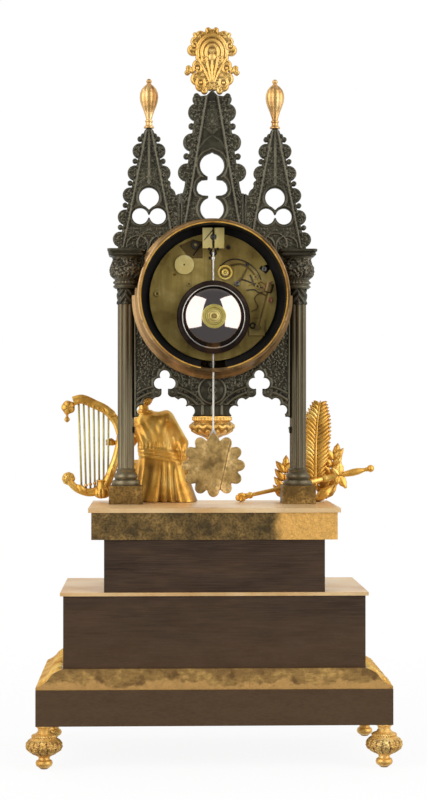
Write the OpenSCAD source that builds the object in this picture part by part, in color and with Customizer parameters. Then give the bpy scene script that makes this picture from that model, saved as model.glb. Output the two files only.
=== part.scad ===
// Table clock: a pierced gothic facade on a stepped base, with a seated harpist, a trophy and a
// two-train movement whose pendulum hangs on silk. Millimetres, +Z up. The dial faces -Y.
// The origin is the middle of the base, on the surface that the clock stands on.

/* [Base] */
// Height of the feet
foot_h = 34; // [30:0.5:38]
// Largest radius of a foot
foot_r = 15.2; // [13:0.1:17]
// Distance from the plinth's edges to a foot's axis
foot_inset = 6.5; // [6:0.5:10]
// Width of the plinth
plinth_w = 281; // [276:1:300]
// Depth of the plinth
plinth_d = 150; // [148:1:170]
// Height of the plinth
plinth_h = 28.3; // [24:0.1:34]
// Thickness of the sheet that the tiers are made of
sheet = 3; // [2:0.1:4]
// Height of the leaf moulding
moulding_h = 16.5; // [12:0.5:20]
// Width of the lower tier
lower_w = 238; // [230:1:244]
// Height of the lower tier
lower_h = 56.8; // [50:0.1:64]
// Distance from the facade's plane to the front of the lower tier
lower_front = 50; // [48:1:56]
// Distance from the facade's plane to the backs of the tiers
tier_back = 71; // [69:0.5:72]
// Thickness of the lower tier's cover plate
cover_t = 2.7; // [2:0.1:4]
// Overhang of the cover plate
cover_lip = 2.5; // [1:0.1:3]
// Width of the upper tier
upper_w = 174; // [166:1:186]
// Height of the upper tier
upper_h = 41.4; // [36:0.1:48]
// Distance from the facade's plane to the front of the upper tier
upper_front = 42; // [38:1:45]
// Width of the cornice band
cornice_w = 194; // [190:1:200]
// Height of the cornice band
cornice_h = 21.3; // [16:0.1:26]
// Wall of the cornice band, which laps over the upper tier's edge
cornice_wall = 12; // [11:0.5:14]
// Thickness of the top plate
top_t = 3.5; // [2.5:0.1:5]
// Overhang of the top plate
top_lip = 2.5; // [1:0.1:3]
// Radius of the tie rods
rod_r = 1.8; // [1.5:0.1:2.2]

/* [Columns] */
// Distance between the columns' axes
column_span = 142; // [140:0.5:145]
// Side of a column's gilt block
block_w = 27.5; // [24:0.1:30]
// Height of a column's gilt block
block_h = 15; // [12:0.1:18]
// Height of a column, its foot included
column_h = 169; // [165:0.5:172]
// Radius of a column's clustered shaft
shaft_r = 6.8; // [6:0.1:7]
// Largest radius of a capital
capital_r = 13.3; // [12:0.1:13.5]
// Height of a capital, without its abacus
capital_h = 26.5; // [24:0.5:28]
// Thickness of the abacus
abacus_t = 5.8; // [4:0.1:7]
// Half the width of the abacus
abacus_r = 15; // [13.5:0.1:16]

/* [Facade] */
// Thickness of the facade's castings
facade_t = 8; // [6:0.5:9]
// Height of the arcade's lowest edge above the top plate
arcade_low = 58; // [55:0.5:62]
// Distance from the middle to an arch's axis
arch_x = 39; // [38:0.5:40]
// Height of the gable's crocketed side
side_gable_h = 100; // [96:0.5:104]
// Distance from the middle to a side gable's axis
side_gable_x = 52; // [51:0.5:53]
// Height of the centre gable's top above the dial's centre
centre_gable_h = 168; // [164:0.5:172]
// Height of the palmette
palmette_h = 58; // [54:0.5:62]
// Height of a drop finial
drop_h = 41; // [36:0.5:44]
// Largest radius of a drop finial
drop_r = 8; // [7:0.1:9]
// Largest radius of the pendant boss
boss_r = 19; // [17:0.1:21]

/* [Case] */
// Height of the dial's centre above the top plate
dial_up = 168.5; // [168:0.5:170]
// Outer radius of the drum
drum_r = 61; // [60:0.1:61.5]
// Thickness of the drum's wall
drum_wall = 3; // [2.5:0.1:3.5]
// Distance from the facade's plane to the drum's rear rim
drum_back = 55; // [53:0.5:58]
// Radius of the drum's flange
flange_r = 66; // [64:0.1:66.5]
// Outer radius of the bezel seat
seat_r = 60; // [59:0.1:60.2]
// Outer radius of the glazed bezel
bezel_r = 61.5; // [60.5:0.1:61.7]
// Radius of the glass that shows
sight_r = 50; // [48:0.1:50.4]
// Radius of the dial
dial_r = 54; // [53:0.1:54.1]
// Radius of the bezel's hinge pin
hinge_pin_r = 0.9; // [0.8:0.05:1]

/* [Movement] */
// Radius of the movement's plates
plate_r = 51.4; // [51:0.1:52]
// Thickness of a plate
plate_t = 2.5; // [2:0.1:3]
// Distance between the plates
plate_gap = 29; // [28:0.1:30]
// Radius of a pillar
pillar_r = 3; // [2.5:0.1:3.5]
// Distance from the dial's centre to a barrel's axis
barrel_x = 26; // [25.5:0.1:26.5]
// Radius of a barrel
barrel_r = 20; // [18:0.1:20.5]
// Radius of a winding arbor
arbor_r = 2.4; // [2:0.1:2.8]
// Radius of the wheels' thin arbors
thin_r = 0.8; // [0.6:0.05:0.9]
// Radial clearance of a running fit
fit = 0.05; // [0.03:0.01:0.08]
// Radius of the bell
bell_r = 29.5; // [28:0.1:30.5]
// Thickness of the bell
bell_t = 1.5; // [1.2:0.1:2]
// Length of the pendulum, from its bend to the bob's centre
pendulum_l = 172; // [168:0.5:174]
// Radius of the pendulum's rod
pendulum_r = 0.75; // [0.6:0.05:0.8]
// Radius of the bob, to the tips of its petals
bob_r = 25.6; // [23:0.1:26]
// Thickness of the bob
bob_t = 5; // [4:0.5:6]
// Number of petals on the bob
bob_petals = 12; // [8:1:16]

/* [Figures] */
// Height of the seated figure
figure_h = 101; // [98:0.5:102]
// Thickness of the harp
harp_t = 6; // [5:0.5:7]
// Number of the harp's strings
harp_strings = 7; // [5:1:8]
// Length of the palm leaf
leaf_l = 74; // [70:0.5:76]
// Length of the sword
sword_l = 116; // [112:0.5:118]

/* [Hidden] */
$fn = 64;
eps = 0.01;

// Heights of the base's layers
plinth_z = foot_h;
moulding_z = plinth_z + plinth_h;
lower_z = moulding_z + moulding_h;
cover_z = lower_z + lower_h;
upper_z = cover_z + cover_t;
cornice_z = upper_z + upper_h;
plate_z = cornice_z + cornice_h;
top_z = plate_z + top_t;
cornice_front = upper_front + 5;
rod_gap = 0.3;

// Heights of the columns
col_x = column_span / 2;
col_z = top_z + block_h;
capital_z = col_z + column_h - 7;
abacus_z = capital_z + capital_h;
gable_z = abacus_z + abacus_t;

// The dial's centre and the case around it
dial_z = top_z + dial_up;
half_t = facade_t / 2;
seat_front = half_t + 10;
ledge_t = 5;
door_gap = 0.3;
bezel_d = 9;
glass_t = 1.5;
glass_rim = 3.8;
hinge_x = 64.3;
hinge_y = -seat_front - 1;
hinge_r = 2;
knuckle_h = 5;

// The movement's planes
front_plate_y = -half_t;
plate_in = front_plate_y + plate_t;
back_in = plate_in + plate_gap;
back_out = back_in + plate_t;
ear_r = plate_r + 4.2;
pendulum_y = back_out + 5;
pivot_z = dial_z + 36;

// Wheels: teeth, and the distance between the arbors that sets each module
barrel_teeth = 72;
centre_leaves = 12;
centre_teeth = 84;
small_leaves = 7;
third_teeth = 84;
escape_teeth = 30;
cannon_teeth = 12;
minute_teeth = 36;
minute_leaves = 10;
hour_teeth = 40;
strike_teeth = 48;
pin_leaves = 8;
pin_teeth = 48;
centre_to_third = 19.5;
third_to_escape = 14.6;
motion_dist = 12;
strike_to_pin = 11.2;
pin_to_fly = 8.25;
barrel_module = 2 * barrel_x / (barrel_teeth + centre_leaves);
centre_module = 2 * centre_to_third / (centre_teeth + small_leaves);
third_module = 2 * third_to_escape / (third_teeth + small_leaves);
cannon_module = 2 * motion_dist / (cannon_teeth + minute_teeth);
hour_module = 2 * motion_dist / (minute_leaves + hour_teeth);
strike_module = 2 * strike_to_pin / (strike_teeth + pin_leaves);
pin_module = 2 * pin_to_fly / (pin_teeth + small_leaves);

// Where the arbors stand, as [x, z]
function polar(c, r, a) = [c[0] + r * cos(a), c[1] + r * sin(a)];
function bearing(p, q) = atan2(q[1] - p[1], q[0] - p[0]);
centre_at = [0, dial_z];
barrel_drop = 16;
going_at = polar(centre_at, barrel_x, 180 + barrel_drop);
strike_at = polar(centre_at, barrel_x, -barrel_drop);
escape_drop = 13.5;
escape_at = [0, pivot_z - escape_drop];
escape_up = escape_at[1] - dial_z;
third_up = (pow(centre_to_third, 2) - pow(third_to_escape, 2) + pow(escape_up, 2)) / (2 * escape_up);
third_at = [-sqrt(pow(centre_to_third, 2) - pow(third_up, 2)), dial_z + third_up];
minute_at = [0, dial_z - motion_dist];
strike_wheel_at = polar(strike_at, barrel_x, 76.2);
pin_at = polar(strike_wheel_at, strike_to_pin, 134.8);
fly_at = polar(pin_at, pin_to_fly, 60);
silk_at = [0, dial_z + 48];
hammer_at = [-36, dial_z - 25];
hammer_l = 33.5;
hammer_rest = 105;
bell_at = [0, dial_z - 16.6];
bell_rim_y = back_out + 9.5;
bell_h = 14;
stand_x = -12;
pillars_at = [[22, -39], [-22, -39], [14, 42.5], [-30, 34]];
ears_at = [40, 140, 270];

// A gear's first tooth, so that it meshes with a gear whose first tooth is at phase
function meshed(phase, teeth, follower, line) =
  line + 180 + 360 / follower * (0.5 - (phase - line) * teeth / 360);

module at_y(y, h) translate([0, y + h, 0]) rotate([90, 0, 0]) linear_extrude(h) children();
module rod_y(c, y0, y1, r, fn = 48)
  translate([c[0], y1, c[1]]) rotate([90, 0, 0]) cylinder(h = y1 - y0, r = r, $fn = fn);
module turn_z(points) rotate_extrude($fn = 72) polygon(points);
module box(x, y, z) translate([x[0], y[0], z[0]]) cube([x[1] - x[0], y[1] - y[0], z[1] - z[0]]);

// Trapezoid teeth on a disc; a wheel's teeth and a pinion's leaves differ only in their widths
module teeth(n, m, add, ded, tip, mid, root, phase) {
  p = 360 / n;
  r = n * m / 2;
  polygon([for (k = [0:n - 1]) for (s = [[-ded, -root], [0, -mid], [add, -tip],
                                         [add, tip], [0, mid], [-ded, root]])
    let (a = phase + (k + s[1]) * p, rr = r + s[0] * m) [rr * cos(a), rr * sin(a)]]);
}
module wheel_2d(n, m, phase) teeth(n, m, 0.9, 1.25, 0.06, 0.17, 0.2, phase);
module leaves_2d(n, m, phase) teeth(n, m, 0.7, 1.4, 0.07, 0.15, 0.15, phase);
// Four curved openings leave a rim and crossed spokes
module crossed(n, m, phase, hub) {
  r = n * m / 2 - 1.25 * m - 1.6;
  difference() {
    wheel_2d(n, m, phase);
    for (a = [0:90:270]) rotate(a) intersection() {
      difference() {
        circle(r);
        circle(hub);
      }
      translate([0.9, 0.9]) square(r);
    }
  }
}
module on(c) translate([c[0], 0, c[1]]) children();

// Base
module foot(x, y) color("goldenrod") translate([x, y, 0]) {
  k = foot_r;
  turn_z([[0, 0], [2.8, 0], [k * 0.4, 2.6], [k * 0.44, 4.7], [k * 0.4, 6.6], [4.4, 7.6], [4.3, 9],
          [k * 0.62, 12], [k * 0.92, 15], [k, 18], [k * 0.95, 20.6], [k * 0.7, 24.2],
          [k * 0.64, 25], [k * 0.64, 26.4], [5.4, 28], [4.7, 30], [5.4, foot_h], [0, foot_h]]);
  translate([0, 0, foot_h - eps]) cylinder(h = plinth_h * 0.45, r = stud_r);
}
stud_r = 2.5;
foot_x = plinth_w / 2 - foot_inset;
foot_y = plinth_d / 2 - foot_inset;
module feet() for (x = [-foot_x, foot_x]) for (y = [-foot_y, foot_y]) foot(x, y);

module frame_box(w, back, front, z, h, t) color([0.27, 0.22, 0.19]) difference() {
  box([-w / 2, w / 2], [-front, back], [z, z + h]);
  box([-w / 2 + t, w / 2 - t], [-front + t, back - t], [z - 1, z + h + 1]);
}

// The plinth's corner blocks take the feet's studs
module plinth() color([0.27, 0.22, 0.19]) {
  difference() {
    union() {
      frame_box(plinth_w, plinth_d / 2, plinth_d / 2, plinth_z, plinth_h, sheet);
      for (x = [-1, 1]) for (y = [-1, 1])
        translate([x * foot_x, y * foot_y, plinth_z + plinth_h * 0.3])
          cube([2 * foot_inset, 2 * foot_inset, plinth_h * 0.6] - [eps, eps, 0], center = true);
    }
    for (x = [-foot_x, foot_x]) for (y = [-foot_y, foot_y])
      translate([x, y, plinth_z - 1]) cylinder(h = plinth_h, r = stud_r + fit);
  }
}

// A moulding that slopes in on three sides, with a plain back. Two crossed profiles mitre it, and
// its inner rim carries the lower tier
rim = 10;
function ogee(out, in, steps) = [for (i = [0:steps]) let (k = i / steps)
  [out + (in - out) * (k + 0.09 * sin(360 * k)), moulding_z + moulding_h * (0.12 + 0.88 * k)]];
module base_moulding() color("goldenrod") {
  w = plinth_w / 2;
  d = plinth_d / 2;
  in = lower_w / 2 + 0.5;
  front = lower_front + 0.5;
  right = concat([[w, moulding_z]], ogee(w, in, 8));
  forward = concat([[-d, moulding_z]], ogee(-d, -front, 8));
  difference() {
    intersection() {
      translate([0, d, 0]) rotate([90, 0, 0]) linear_extrude(2 * d)
        polygon(concat(right, [for (i = [len(right) - 1:-1:0]) [-right[i][0], right[i][1]]]));
      translate([-w, 0, 0]) rotate([90, 0, 90]) linear_extrude(2 * w)
        polygon(concat(forward, [[d - 1, moulding_z + moulding_h], [d - 1, moulding_z]]));
    }
    box([-lower_w / 2 + rim, lower_w / 2 - rim], [-lower_front + rim, tier_back - rim],
        [moulding_z - 1, moulding_z + moulding_h + 1]);
  }
}

module lower_tier() frame_box(lower_w, tier_back, lower_front, lower_z, lower_h, sheet);

module rod_holes(z, h) for (x = [-col_x, col_x])
  translate([x, 0, z - 1]) cylinder(h = h + 2, r = rod_r + rod_gap, $fn = 32);

module lower_cover() color("burlywood") difference() {
  box([-lower_w / 2 - cover_lip, lower_w / 2 + cover_lip],
      [-lower_front - cover_lip, tier_back + 1], [cover_z, cover_z + cover_t]);
  rod_holes(cover_z, cover_t);
}

module upper_tier() frame_box(upper_w, tier_back - 1, upper_front, upper_z, upper_h, sheet);

// A thick cast band that stands on the upper tier's walls
module cornice() color("goldenrod")
  frame_box(cornice_w, tier_back, cornice_front, cornice_z, cornice_h, cornice_wall);

module top_plate() color("burlywood") difference() {
  box([-cornice_w / 2 - top_lip, cornice_w / 2 + top_lip],
      [-cornice_front - top_lip, tier_back + 1], [plate_z, plate_z + top_t]);
  rod_holes(plate_z, top_t);
}

// An iron bar under the lower tier takes the tie rods, and it rests on the moulding's inner rim
bar_w = 16;
bar_t = 5;
module tie_bar() color("dimgray") difference() {
  l = lower_w / 2 - sheet - 1;
  box([-l, l], [-bar_w / 2, bar_w / 2], [lower_z, lower_z + bar_t]);
  rod_holes(lower_z, bar_t);
}

nut_h = 5;
module nut(x, z) translate([x, 0, z]) difference() {
  cylinder(h = nut_h, r = 6, $fn = 4);
  translate([0, 0, -1]) cylinder(h = nut_h + 2, r = rod_r, $fn = 32);
}
module tie_rods() color("dimgray") for (x = [-col_x, col_x]) {
  translate([x, 0, lower_z - nut_h - 3]) cylinder(h = abacus_z - lower_z + nut_h, r = rod_r, $fn = 32);
  nut(x, lower_z - nut_h);
}

// Columns
module column_blocks() color("goldenrod") for (x = [-col_x, col_x]) difference() {
  translate([x - block_w / 2, -block_w / 2, top_z]) cube([block_w, block_w, block_h]);
  translate([x, 0, top_z - 1]) cylinder(h = block_h + 2, r = rod_r + rod_gap, $fn = 32);
}

module column(x) color([0.26, 0.26, 0.21]) translate([x, 0, col_z]) difference() {
  r = shaft_r;
  union() {
    turn_z([[0, 0], [r * 1.7, 0], [r * 1.75, 2], [r * 1.65, 4], [r * 1.3, 5], [r * 1.45, 7],
            [r * 1.4, 9], [r * 1.1, 11], [r * 1.2, 13], [r, 14], [0, 14]]);
    linear_extrude(column_h - 7) {
      circle(r * 0.82);
      for (a = [0:45:315]) rotate(a) translate([r * 0.72, 0]) circle(r * 0.28, $fn = 24);
    }
  }
  translate([0, 0, -1]) cylinder(h = column_h + 2, r = rod_r + rod_gap, $fn = 32);
}
module columns() for (x = [-col_x, col_x]) column(x);

module capital(x) color([0.26, 0.26, 0.21]) difference() {
  union() {
    translate([x, 0, capital_z]) {
      k = capital_r;
      turn_z([[0, 0], [k * 0.68, 0], [k * 0.8, 1.6], [k * 0.7, 3.4], [k * 0.78, 5], [k * 0.66, 6.8],
              [k * 0.88, 9.5], [k, 14], [k * 0.97, 18], [k * 0.84, 21.5], [k * 0.76, 23.5],
              [k * 0.9, capital_h], [0, capital_h]]);
    }
    translate([x - abacus_r, -abacus_r, abacus_z])
      cube([2 * abacus_r, 2 * abacus_r, abacus_t]);
  }
  translate([x, 0, capital_z - 1]) cylinder(h = capital_h - 1, r = rod_r + rod_gap, $fn = 32);
  on([0, dial_z]) at_y(half_t - 1, 60) circle(drum_r + 0.4);
}
module capitals() for (x = [-col_x, col_x]) capital(x);

// Facade
module drum_hole_2d() translate(centre_at) circle(drum_r + 0.3 - drum_wall);

// One cusped arch, drawn about its own axis at x = 0
arch_z = top_z + 90;
module arch_2d() translate([0, arch_z]) {
  translate([0, 15.7]) circle(4.1);
  translate([-4.2, 9]) circle(4.6);
  translate([4.2, 9]) circle(4.6);
  translate([-2.6, -2]) square([5.2, 14]);
  difference() {
    polygon([[0, 1], [-6, -2], [-12, -4.5], [-18, -12], [-23.4, -18.3], [-25.2, -40], [24.9, -40],
             [24.7, -30], [21.2, -16.5], [16.8, -9.5], [10.5, -4.5], [5, -2]]);
    for (x = [-6.6, 6.6]) translate([x, 1.8]) circle(4.3);
  }
}

arcade_top = capital_z - 1;
module arcade() color([0.26, 0.26, 0.21]) at_y(-half_t, facade_t) difference() {
  edge = col_x - shaft_r - 0.3;
  translate([-edge, top_z + arcade_low]) square([2 * edge, arcade_top - top_z - arcade_low]);
  drum_hole_2d();
  translate([arch_x, 0]) arch_2d();
  translate([-arch_x, 0]) mirror([1, 0]) arch_2d();
  translate([-14.4, 0]) square([28.8, boss_top]);
  translate([-16, top_z + 40]) square([32, boss_top - top_z - 40]);
  for (s = [-1, 1]) translate([s * 14.4, boss_top - 30]) square([9, 60], center = true);
}

// A gable's crocketed half edge: leaf lobes with small knobs between them
module crockets(x0, dx, n, pitch, r) for (i = [0:n - 1]) {
  translate([x0 + dx * i - r, -pitch * i]) circle(r, $fn = 24);
  translate([x0 + dx * (i - 0.5) - r * 0.72, -pitch * (i - 0.5)]) circle(r * 0.32, $fn = 18);
}
// Two round openings with a narrow neck, and a pointed one above their cusp
module trefoil_2d(r) {
  translate([0, r * 2.2]) circle(r * 1.16);
  polygon([[-r * 0.9, r * 1.58], [r * 0.9, r * 1.58], [0, r * 0.76]]);
  for (s = [-1, 1]) translate([s * r * 1.03, 0]) circle(r * 0.95);
  square([r * 0.5, r * 0.36], center = true);
}

module side_gable_2d() {
  pitch = 18.2;
  first = gable_z + side_gable_h - 18.8;
  top = gable_z + side_gable_h;
  difference() {
    union() {
      polygon([[-1.6, top], [1.6, top], [6, first + 8], [9, first - 6], [23, gable_z + 12], [26, gable_z],
               [-23, gable_z], [-22.5, gable_z + 40], [-9, first - 6], [-6, first + 8]]);
      translate([0, first]) crockets(13.6, 4.05, 5, pitch, 6.2);
      translate([0, first]) mirror([1, 0]) crockets(13.6, 4.2, 3, pitch, 6.2);
      translate([0, top - 4.25]) circle(4.2);
    }
    translate([0, gable_z + 27.5]) trefoil_2d(7);
  }
}

// The part of a side gable's casting that reaches down beside the drum
module side_gable(s) color([0.26, 0.26, 0.21]) at_y(-half_t, facade_t)
  mirror([s > 0 ? 0 : 1, 0]) difference() {
    union() {
      translate([side_gable_x, 0]) intersection() {
        side_gable_2d();
        translate([-side_gable_x + split_x + 0.1, 0]) square([200, 2000]);
      }
      translate([split_x + 0.1, gable_z - 16]) square([col_x - abacus_r - 0.3 - split_x, 54]);
      intersection() {
        valley_lobe();
        translate([split_x + 0.1, gable_z]) square([50, 100]);
      }
    }
    drum_hole_2d();
    translate([split_x - 50, gable_z + 44]) square([50.1, 100]);
    translate([side_gable_x, gable_z + 27.5]) trefoil_2d(7);
  }
split_x = 26.5;
// The leaf lobe where the side gable and the centre gable meet, cast in two halves
module valley_lobe() translate([split_x - 1.5, gable_z + 39]) circle(7.4);
module side_gables() for (s = [-1, 1]) side_gable(s);

module centre_gable_2d() {
  top = dial_z + centre_gable_h;
  first = top - 14;
  difference() {
    union() {
      polygon([[-12.5, top - 1], [-14, first], [-split_x + 3.5, first - 62], [-split_x + 0.1, first - 74],
               [-split_x + 0.1, dial_z], [split_x - 0.1, dial_z], [split_x - 0.1, first - 74],
               [split_x - 3.5, first - 62], [14, first], [12.5, top - 1], [4.6, top], [0, top + 4.5],
               [-4.6, top]]);
      translate([0, first]) crockets(19.8, 4.2, 3, 24.8, 7.4);
      translate([0, first]) mirror([1, 0]) crockets(19.8, 4.2, 3, 24.8, 7.4);
      for (s = [-1, 1]) translate([s * 11.5, top - 4]) circle(4.2, $fn = 24);
      for (s = [0, 1]) mirror([s, 0]) intersection() {
        valley_lobe();
        translate([0, gable_z]) square([split_x - 0.1, 100]);
      }
    }
    translate([0, dial_z]) {
      translate([0, 110.3]) circle(9.9);
      polygon([[-6.6, 117.2], [0, 121.2], [6.6, 117.2]]);
      translate([-3.6, 97]) square([7.2, 6]);
      polygon([[-3.6, 98.4], [-8.6, 98], [-11.4, 95.6], [-12.5, 92.3], [-12.5, 89.6], [-11, 87],
               [-8, 85.5], [-3.1, 85.2], [3.1, 85.2], [8, 85.5], [11, 87], [12.5, 89.6], [12.5, 92.3],
               [11.4, 95.6], [8.6, 98], [3.6, 98.4]]);
      translate([-3.1, 81]) square([6.2, 6]);
      translate([0, 74.4]) circle(9.6);
    }
  }
}
module centre_gable() color([0.26, 0.26, 0.21]) at_y(-half_t, facade_t) difference() {
  centre_gable_2d();
  drum_hole_2d();
}

// Stacked leaf lobes about a stem, with a notch that sits on the gable's tip
palmette_z = dial_z + centre_gable_h - 1.5;
palmette_t = 6;
module palmette() color("gold") at_y(-palmette_t / 2, palmette_t) translate([0, palmette_z]) {
  k = palmette_h / 58;
  difference() {
    scale(k) union() {
      for (s = [-1, 1]) {
        translate([s * 4.2, 52.5]) circle(5.6);
        translate([s * 12.5, 46]) circle(5.4);
        translate([s * 16.2, 39.5]) circle(4.6);
        translate([s * 12, 31]) circle(5.2);
        translate([s * 17.2, 22.8]) circle(6.2);
        translate([s * 9, 12]) circle(6);
        translate([s * 6.3, 5.5]) circle(3.2);
      }
      polygon([[-10, 8], [10, 8], [16, 22], [11, 32], [17, 40], [12, 49], [0, 57], [-12, 49],
               [-17, 40], [-11, 32], [-16, 22]]);
    }
    polygon([[-3.4, -1], [-8, 2], [-5, 1.4 + 0.3], [0, 6.8], [5, 1.4 + 0.3], [8, 2], [3.4, -1]]);
    translate([-30, -20]) square([60, 21.8]);
  }
}

module drop_finial(x) color("gold") translate([x, 0, gable_z + side_gable_h]) {
  k = drop_r;
  h = drop_h;
  turn_z([[0, 0.05], [4.2, 0.05], [4.2, 1.6], [2.9, 2.6], [2.6, 5], [3.4, 6], [2.4, 7.2],
          [k * 0.5, h * 0.3], [k * 0.86, h * 0.48], [k, h * 0.62], [k * 0.93, h * 0.74],
          [k * 0.7, h * 0.83], [k * 0.34, h * 0.88], [k * 0.2, h * 0.9], [k * 0.26, h * 0.95],
          [k * 0.2, h * 0.99], [0, h]]);
}
module drop_finials() for (x = [-side_gable_x, side_gable_x]) drop_finial(x);

boss_top = top_z + 72;
module pendant_boss() color("gold") translate([0, 0, boss_top]) {
  k = boss_r;
  turn_z([[0, 0], [k * 0.84, 0], [k * 0.88, -2], [k * 0.84, -4], [k * 0.78, -4.6], [k, -7],
          [k, -9.5], [k * 0.84, -13], [k * 0.55, -16.5], [k * 0.3, -18.5], [k * 0.22, -19.6],
          [k * 0.26, -22], [k * 0.2, -24.6], [0, -26]]);
}

// Case
module drum() color("peru") difference() {
  translate([0, 0, dial_z]) rotate([-90, 0, 0]) rotate_extrude($fn = 96) {
    b = drum_back;
    i = drum_r - drum_wall;
    polygon([[i, half_t + 0.02], [drum_r, half_t + 0.02], [drum_r, half_t + 3.2],
             [flange_r, half_t + 3.2], [flange_r, half_t + 4.8], [drum_r + 2.4, half_t + 8],
             [drum_r + 0.5, half_t + 13], [drum_r - 0.7, half_t + 20], [drum_r - 0.7, b - 6],
             [drum_r, b - 5], [drum_r, b - 0.8], [drum_r - 0.8, b], [i + 0.6, b], [i, b - 0.6]]);
  }
  for (x = [-col_x, col_x]) translate([x, 0, capital_z - 6]) {
    cylinder(h = capital_h + abacus_t + 12, r = capital_r + 0.8);
    translate([-abacus_r - 0.6, -30, 6]) cube([2 * abacus_r + 1.2, abacus_r + 30.6, 50]);
  }
  box([-10, 10], [pendulum_y - 7, pendulum_y + 12], [dial_z - drum_r - 5, dial_z - 40]);
  on(polar(centre_at, drum_r + 1.6, 24)) at_y(drum_back - 5, 10) circle(3.4, $fn = 24);
  for (a = [200, 340]) on(polar(centre_at, drum_r, a)) at_y(drum_back - 3, 9) circle(0.8, $fn = 16);
}

module bezel_seat() color("gold") difference() {
  union() {
    on(centre_at) at_y(-seat_front, seat_front - half_t) difference() {
      circle(seat_r);
      circle(dial_r + 0.1);
    }
    on(centre_at) at_y(-half_t - ledge_t, ledge_t) difference() {
      circle(seat_r - 0.5);
      circle(plate_r + 0.6);
    }
    for (s = [-1, 1]) {
      translate([0, 0, dial_z + s * (knuckle_h / 2 + 0.2 + knuckle_h / 2)]) {
        translate([hinge_x, hinge_y, -knuckle_h / 2]) cylinder(h = knuckle_h, r = hinge_r);
        translate([seat_r - 3, -seat_front, -knuckle_h / 2])
          cube([hinge_x - seat_r + 3, 2, knuckle_h]);
      }
    }
  }
  translate([hinge_x, hinge_y, dial_z - 20]) cylinder(h = 40, r = hinge_pin_r + fit / 2);
  for (a = ears_at) on(polar(centre_at, ear_r - 1.6, a)) at_y(-half_t - 8, 9) circle(1, $fn = 24);
}

module case_screws() color("silver") for (a = ears_at) on(polar(centre_at, ear_r - 1.6, a)) {
  rod_y([0, 0], -half_t - ledge_t + 0.5, plate_in + 1.2, 1 - 0.02, 24);
  difference() {
    rod_y([0, 0], plate_in, plate_in + 1.6, 2.1);
    box([-2.5, 2.5], [plate_in + 1, plate_in + 2], [-0.3, 0.3]);
  }
}

module hinge_pin() color("gold") translate([hinge_x, hinge_y, dial_z - 1.5 * knuckle_h - 1]) {
  cylinder(h = 3 * knuckle_h + 2, r = hinge_pin_r, $fn = 48);
  translate([0, 0, 3 * knuckle_h + 2 - eps]) cylinder(h = 0.9, r = hinge_pin_r + 0.5);
}

module bezel() color("gold") difference() {
  front = -seat_front - door_gap - bezel_d;
  union() {
    translate([0, 0, dial_z]) rotate([90, 0, 0]) rotate_extrude($fn = 96)
      polygon([[sight_r, seat_front + 3], [bezel_r, seat_front + door_gap],
               [bezel_r, seat_front + 3.4], [bezel_r - 1.6, seat_front + 6],
               [bezel_r - 5, -front - 1], [bezel_r - 7, -front], [sight_r + 1.2, seat_front + 6.4],
               [sight_r, seat_front + 5.6]]);
    translate([hinge_x, hinge_y - 0.4, dial_z - knuckle_h / 2]) cylinder(h = knuckle_h, r = hinge_r);
    translate([bezel_r - 2, hinge_y - 2, dial_z - knuckle_h / 2])
      cube([hinge_x - bezel_r + 2, 1.6, knuckle_h]);
  }
  translate([0, 0, dial_z]) rotate([90, 0, 0]) cylinder(h = seat_front + 4.8, r = sight_r + glass_rim + 0.05);
  translate([hinge_x, hinge_y, dial_z - 20]) cylinder(h = 40, r = hinge_pin_r + fit);
}

module glass() color("lightcyan", 0.4)
  rod_y(centre_at, -seat_front - 4.8, -seat_front - 4.8 + glass_t, sight_r + glass_rim, 96);

dial_y = -half_t - ledge_t;
dial_t = 1;
module dial() color("ivory") on([0, dial_z]) at_y(dial_y - dial_t, dial_t) difference() {
  circle(dial_r, $fn = 96);
  circle(4.2);
  for (c = [going_at, strike_at]) translate(c - centre_at) circle(arbor_r + 1.2);
  translate(silk_at - centre_at) circle(2.2);
}

// Movement
module plate_2d() translate(centre_at) circle(plate_r, $fn = 96);
module pivots_2d() {
  for (c = [third_at, escape_at, pin_at, fly_at]) translate(c) circle(thin_r + fit, $fn = 32);
  for (c = [going_at, strike_at]) translate(c) circle(arbor_r + fit, $fn = 32);
  for (p = pillars_at) translate(centre_at + p) circle(pillar_r * 0.5 + 0.02, $fn = 24);
  translate(silk_at) circle(1.2 + fit, $fn = 32);
}

module front_plate() color("goldenrod") at_y(front_plate_y, plate_t) difference() {
  union() {
    plate_2d();
    for (a = ears_at) translate(polar(centre_at, ear_r - 3.5, a)) circle(3.5, $fn = 32);
  }
  pivots_2d();
  translate(strike_wheel_at) circle(thin_r + fit, $fn = 32);
  translate([0, pivot_z]) circle(thin_r + fit, $fn = 32);
  translate(centre_at) circle(centre_r + fit, $fn = 48);
  for (a = ears_at) translate(polar(centre_at, ear_r - 1.6, a)) circle(1.05, $fn = 24);
}

centre_r = 1.5;
strike_r = 1.1;
module back_plate() color([0.48, 0.41, 0.21]) at_y(back_in, plate_t) difference() {
  plate_2d();
  pivots_2d();
  translate(strike_wheel_at) circle(strike_r + fit, $fn = 32);
  translate(centre_at) circle(thin_r + fit, $fn = 32);
  translate([0, pivot_z]) circle(3);
  translate(hammer_at) circle(1.2 + fit, $fn = 32);
  for (c = [[-27.2, 25.9], [-34.3, 16.2], [-36, 8.6], [45.5, 2.6], [-46.3, -2.3]])
    translate(centre_at + c) circle(1, $fn = 24);
  translate(centre_at + [-44.6, 24.4]) rotate(-31) square([9, 5], center = true);
}

module plate_pillars() color("goldenrod") for (p = pillars_at) on(centre_at + p) {
  rod_y([0, 0], plate_in, back_in, pillar_r);
  rod_y([0, 0], front_plate_y - 0.6, back_out + 1, pillar_r * 0.5);
}

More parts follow.
